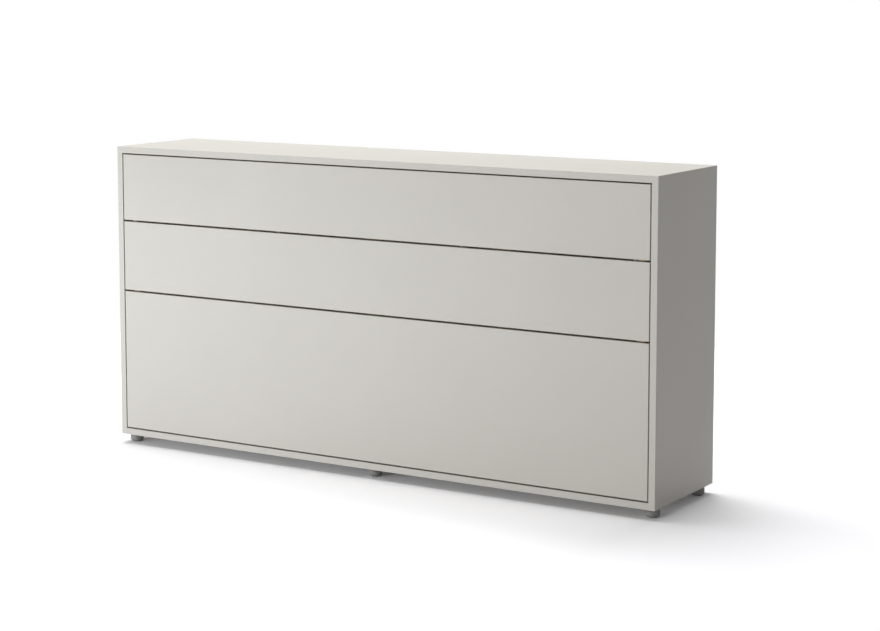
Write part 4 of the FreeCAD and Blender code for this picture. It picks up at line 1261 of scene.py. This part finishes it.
@dataclass
class MattressStraps:
    """Two webbing straps round the mattress, each drawn tight in a slide buckle.

    Attributes:
        width: width of the webbing.
        thick: its thickness.
        sink: how far it presses into the mattress.
        soften: how far its cut edges are rounded.
        bend: radius at which it turns over the mattress's edge.
        tail: length of its upper end, which hangs behind the rail's edge.
        tail_bend: radius at which it turns into that end.
        loop_rise: how far it climbs over the slide's middle bar.
        climb: places beside that bar, from above, and the share of that rise there.
        slide_bar: width of the slide's outer bars.
        bridge_half: half the width of its middle bar.
        slide_height: its size along the webbing.
        slide_thick: its thickness.
        slide_trim: how much narrower it is than the webbing and two outer bars.
        slide_round: radius of its moulded edges.
        web: the webbing's material: a tight weave, ribbed, dull and dark.
    """

    width: float = 0.050
    thick: float = 0.0015
    sink: float = 0.0025
    soften: float = 0.0004
    bend: float = 0.014
    tail: float = 0.022
    tail_bend: float = 0.004
    loop_rise: float = 0.0048
    climb: tuple[tuple[float, float], ...] = (
        (0.034, 0.0), (0.022, 0.0), (0.012, 0.55), (0.005, 1.0), (-0.005, 1.0),
        (-0.012, 0.55), (-0.022, 0.0), (-0.034, 0.0),
    )
    slide_bar: float = 0.009
    bridge_half: float = 0.004
    slide_height: float = 0.052
    slide_thick: float = 0.0032
    slide_trim: float = 0.004
    slide_round: float = 0.0012
    web: Material = field(
        default_factory=lambda: PolyesterWebbing(
            "polyester_webbing_graphite", "#5A5853", 0.8
        ).material()
    )

    def build(self) -> None:
        """Makes the left strap and its slide, and copies both to the right."""
        left, right = STRAP_PLACES
        shift = Vector((right - left, 0, 0))
        strap = self.add_strap("mattress_strap_left", left)
        for piece in (strap, copy_of(strap, "mattress_strap_right", shift)):
            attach(piece, "bed")
            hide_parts("mattress_straps")
        slide = self.add_slide("strap_slide_left", left)
        for piece in (slide, copy_of(slide, "strap_slide_right", shift)):
            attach(piece, "bed")
            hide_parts("strap_buckles")
        log.info("straps and slides made")

    def route(self) -> list[Vector]:
        """Returns the strap's line, as points with X 0, from rail to rail."""
        low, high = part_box("mattress_straps")
        buckle_low, buckle_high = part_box("strap_buckles")
        half = self.thick / 2
        face = high.y - half - self.sink
        top, bottom = high.z - half, low.z + half
        rail = low.y + half
        over = (buckle_low.z + buckle_high.z) / 2
        turned = top - self.tail_bend
        points = [Vector((0, rail, top - self.tail)), Vector((0, rail, turned))]
        points += self.turn(rail + self.tail_bend, turned, self.tail_bend, 180, 90)
        points += self.turn(face - self.bend, top - self.bend, self.bend, 90, 0)
        points += [
            Vector((0, face + share * self.loop_rise, over + off))
            for off, share in self.climb
        ]
        points += self.turn(face - self.bend, bottom + self.bend, self.bend, 0, -90)
        points.append(Vector((0, rail, bottom)))
        return points

    @staticmethod
    def turn(
        middle_y: float, middle_z: float, radius: float, start: float, stop: float
    ) -> list[Vector]:
        """Returns points of an arc in the YZ plane.

        Args:
            middle_y: Y of the arc's centre.
            middle_z: Z of the arc's centre.
            radius: its radius.
            start: its first angle, in degrees from +Y towards +Z.
            stop: its last angle.

        Returns:
            Seven points from start to stop.
        """
        angles = np.radians(np.linspace(start, stop, num=7))
        ways = [(math.cos(angle), math.sin(angle)) for angle in angles]
        return [
            Vector((0, middle_y + radius * out, middle_z + radius * up))
            for out, up in ways
        ]

    def add_strap(self, name: str, middle: float) -> Object:
        """Extrudes the webbing along its line.

        Args:
            name: the piece's name.
            middle: X of the strap's middle.

        Returns:
            The strap, with a UV map in metres.
        """
        line = self.route()
        first, second = line[0], line[1]
        start = Vector((middle, 0, 0)) + (first + second) / 2
        strap = add_sheet(name, start, self.width, (second - first).length)
        bpy.ops.object.mode_set(mode="EDIT")
        select_edges(
            strap, lambda *ends: max(abs(end.z - second.z) for end in ends) < SAME_PLACE
        )
        for here, there in zip(line[1:], line[2:]):
            bpy.ops.mesh.extrude_region_move(
                TRANSFORM_OT_translate={"value": there - here}
            )
        bpy.ops.mesh.select_all(action="SELECT")
        bpy.ops.mesh.normals_make_consistent(inside=False)
        bpy.ops.object.mode_set(mode="OBJECT")
        self.measure(strap, line, middle)
        apply_modifier(strap, "SOLIDIFY", thickness=self.thick, offset=0.0)
        apply_modifier(
            strap, "BEVEL", width=self.soften, segments=1, limit_method="ANGLE"
        )
        smooth(strap, HARD_EDGE)
        cover_with(strap, self.web)
        return strap

    @staticmethod
    def measure(strap: Object, line: list[Vector], middle: float) -> None:
        """Writes the webbing's UV map: metres across, and metres along its line.

        Args:
            strap: the extruded strap, one face thick.
            line: the points that it follows.
            middle: X of its middle.
        """
        steps = [0.0] + [(b - a).length for a, b in zip(line, line[1:])]
        lengths = np.cumsum(steps)
        stops = np.array([(point.y, point.z) for point in line])
        layer = strap.data.uv_layers.new(name="webbing")
        for loop in strap.data.loops:
            place = strap.data.vertices[loop.vertex_index].co
            nearest = np.hypot(stops[:, 0] - place.y, stops[:, 1] - place.z).argmin()
            layer.data[loop.index].uv = (place.x - middle, lengths[nearest])

    def add_slide(self, name: str, middle: float) -> Object:
        """Makes a flat slide with two slots, which the webbing is threaded through.

        Args:
            name: the piece's name.
            middle: X of the strap's middle.

        Returns:
            The slide.
        """
        low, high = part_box("strap_buckles")
        width = self.width + 2 * self.slide_bar - self.slide_trim
        centre_z = (low.z + high.z) / 2
        depth = high.y - self.sink - self.slide_thick / 2
        centre = Vector((middle, depth, centre_z))
        slide = add_sheet(name, centre, width, self.slide_height)
        slot_side = width / 2 - self.slide_bar
        slot_far = self.slide_height / 2 - self.slide_bar
        bpy.ops.object.mode_set(mode="EDIT")
        cuts = [((middle + side * slot_side, 0, 0), (1, 0, 0)) for side in (-1, 1)]
        cuts += [
            ((0, 0, centre_z + off), (0, 0, 1))
            for off in (-slot_far, -self.bridge_half, self.bridge_half, slot_far)
        ]
        for point, normal in cuts:
            bpy.ops.mesh.select_all(action="SELECT")
            bpy.ops.mesh.bisect(plane_co=point, plane_no=normal)
        select_faces(
            slide,
            lambda at: abs(at.x - middle) < slot_side
            and self.bridge_half < abs(at.z - centre_z) < slot_far,
        )
        bpy.ops.mesh.delete(type="FACE")
        bpy.ops.mesh.select_all(action="SELECT")
        bpy.ops.mesh.normals_make_consistent(inside=False)
        bpy.ops.object.mode_set(mode="OBJECT")
        apply_modifier(slide, "SOLIDIFY", thickness=self.slide_thick, offset=0.0)
        apply_modifier(
            slide, "BEVEL", width=self.slide_round, segments=3, limit_method="ANGLE"
        )
        smooth(slide, HARD_EDGE)
        cover_with(slide, Plastics.black)
        return slide


# --------------------------------------------------------------------- the studio

DAYLIGHT = "#FFFFFF"
COOL = "#F2F7FF"


@dataclass(frozen=True)
class Lamp:
    """One soft lamp of the studio.

    Attributes:
        name: the lamp's name.
        place: where it hangs.
        aim: the point that it faces.
        size: its two sides.
        watts: its power.
        colour: its light's colour, as sRGB hex.
    """

    name: str
    place: tuple[float, float, float]
    aim: tuple[float, float, float]
    size: tuple[float, float]
    watts: float
    colour: str = DAYLIGHT

    def hang(self) -> None:
        """Adds the lamp to the scene."""
        data = bpy.data.lights.new(self.name, "AREA")
        data.shape = "RECTANGLE"
        data.size, data.size_y = self.size
        data.energy = self.watts
        data.color = linear(self.colour)[:3]
        lamp = bpy.data.objects.new(self.name, data)
        bpy.context.scene.collection.objects.link(lamp)
        lamp.location = self.place
        way = Vector(self.aim) - Vector(self.place)
        lamp.rotation_euler = way.to_track_quat("-Z", "Y").to_euler()


@dataclass
class Studio:
    """A plain pale floor, a white surround, soft lamps and the camera.

    Attributes:
        sky: strength of the surround's light on the object.
        sky_colour: colour of the surround.
        floor_colour: colour of the floor, as it throws light back at the object.
        floor_extra: what the eye sees added to it, so that its shadow stays pale.
        clear_from: distance from the middle at which the floor starts to turn white.
        clear_to: distance at which it is all white.
        lamps: the lamps.
        camera_place: where the camera stands.
        camera_turn: its turn about the vertical, in degrees.
        camera_tilt: how far it looks down, in degrees.
        lens_mm: its focal length on a 36 mm sensor.
        shift: its vertical shift, which keeps the uprights nearly parallel.
    """

    sky: float = 0.18
    sky_colour: str = "#FFFFFF"
    floor_colour: str = "#E4E4E6"
    floor_extra: str = "#E7E7E9"
    clear_from: float = 2.2
    clear_to: float = 3.6
    lamps: tuple[Lamp, ...] = (
        Lamp("overhead", (-0.3, 0.1, 5.5), (0.0, 0.0, 0.0), (4.0, 3.5), 28.0),
        Lamp("overhead_side", (-1.2, 0.1, 5.5), (0.0, 0.0, 0.0), (3.5, 3.5), 87.0),
        Lamp("overhead_back", (-0.3, 2.4, 5.5), (0.0, 0.0, 0.0), (3.0, 3.0), 103.0),
        Lamp("overhead_left", (-2.6, 1.0, 3.6), (-0.3, 0.0, 0.5), (2.0, 2.0), 18.0),
        Lamp("low_left", (-2.6, -2.4, 0.35), (-0.8, -0.2, 0.2), (1.2, 0.5), 20.0, COOL),
        Lamp("low_front", (-1.6, -3.4, 0.3), (-0.4, -0.2, 0.2), (1.6, 0.4), 18.0, COOL),
        Lamp("front", (-1.5, -7.5, 1.0), (0.0, 0.0, 0.4), (3.0, 1.6), 146.0),
    )
    camera_place: tuple[float, float, float] = (3.7839, -5.8961, 1.6558)
    camera_turn: float = 31.642
    camera_tilt: float = 6.362
    lens_mm: float = 86.13
    shift: float = -0.12

    def build(self) -> None:
        """Makes floor, surround, lamps and camera, and sets the view transform."""
        bpy.context.scene.view_settings.view_transform = "Standard"
        self.add_floor()
        self.add_surround()
        for lamp in self.lamps:
            lamp.hang()
        self.add_camera()
        log.info("studio ready")

    @staticmethod
    def seen_ray(tree: NodeTree) -> NodeSocket:
        """Returns a socket that is 1 where the eye, a gloss or a glass looks.

        Args:
            tree: the node tree of the floor or the surround.

        Returns:
            The socket.
        """
        rays = add_node(tree, "LightPath")
        seen = rays.outputs["Is Camera Ray"]
        for kind in ("Is Glossy Ray", "Is Transmission Ray"):
            both = {0: seen, 1: rays.outputs[kind]}
            seen = add_node(tree, "Math", both, operation="MAXIMUM").outputs[0]
        return seen

    def add_floor(self) -> None:
        """Adds the floor, which keeps the shadow near the object and fades to white."""
        deselect()
        bpy.ops.mesh.primitive_plane_add(size=60, location=(0, 0, 0))
        floor = bpy.context.object
        floor.name = "studio_floor"
        made = bpy.data.materials.new("studio_floor_pale")
        made.use_nodes = True
        tree = made.node_tree
        tree.nodes.clear()
        matt = add_node(tree, "BsdfDiffuse", {"Color": linear(self.floor_colour)})
        extra = add_node(tree, "BsdfDiffuse", {"Color": linear(self.floor_extra)})
        lifted = add_node(tree, "AddShader", {0: matt.outputs[0], 1: extra.outputs[0]})
        white = add_node(tree, "Emission", {"Strength": 1.0})
        place = add_node(tree, "TexCoord").outputs["Object"]
        away = add_node(tree, "VectorMath", {0: place}, operation="LENGTH")
        fade = add_node(tree, "MapRange", {
            "Value": away.outputs["Value"], "From Min": self.clear_from,
            "From Max": self.clear_to,
        }, interpolation_type="SMOOTHSTEP")
        shown = add_node(
            tree, "MixShader",
            {0: fade.outputs["Result"], 1: lifted.outputs[0], 2: white.outputs[0]},
        )
        surface = add_node(
            tree, "MixShader",
            {0: self.seen_ray(tree), 1: matt.outputs[0], 2: shown.outputs[0]},
        )
        add_node(tree, "OutputMaterial", {"Surface": surface.outputs[0]})
        cover_with(floor, made)

    def add_surround(self) -> None:
        """Adds the surround: white to the eye, softer as a light."""
        world = bpy.data.worlds.new("studio_surround")
        world.use_nodes = True
        tree = world.node_tree
        tree.nodes.clear()
        strength = add_node(
            tree, "MapRange",
            {"Value": self.seen_ray(tree), "To Min": self.sky, "To Max": 1.0},
        )
        glow = add_node(
            tree, "Background",
            {"Color": linear(self.sky_colour), "Strength": strength.outputs["Result"]},
        )
        add_node(tree, "OutputWorld", {"Surface": glow.outputs[0]})
        bpy.context.scene.world = world

    def add_camera(self) -> None:
        """Adds the camera where the photographed view was fitted."""
        data = bpy.data.cameras.new("camera")
        data.sensor_width = 36.0
        data.lens = self.lens_mm
        data.shift_y = self.shift
        camera = bpy.data.objects.new("camera", data)
        bpy.context.scene.collection.objects.link(camera)
        camera.location = self.camera_place
        camera.rotation_euler = (
            math.radians(90.0 - self.camera_tilt), 0.0, math.radians(self.camera_turn)
        )
        bpy.context.scene.camera = camera


def main() -> None:
    """Builds the studio and every sub-assembly in order."""
    logging.basicConfig(level=logging.INFO, format="%(name)s: %(message)s")
    Studio().build()
    Cabinet().dress()
    FrontStrips().dress()
    BedFrame().dress()
    LegAndLinks().dress()
    GasSprings().dress()
    LevellingFeet().dress()
    Mattress().build()
    MattressStraps().build()


if __name__ == "__main__":
    main()
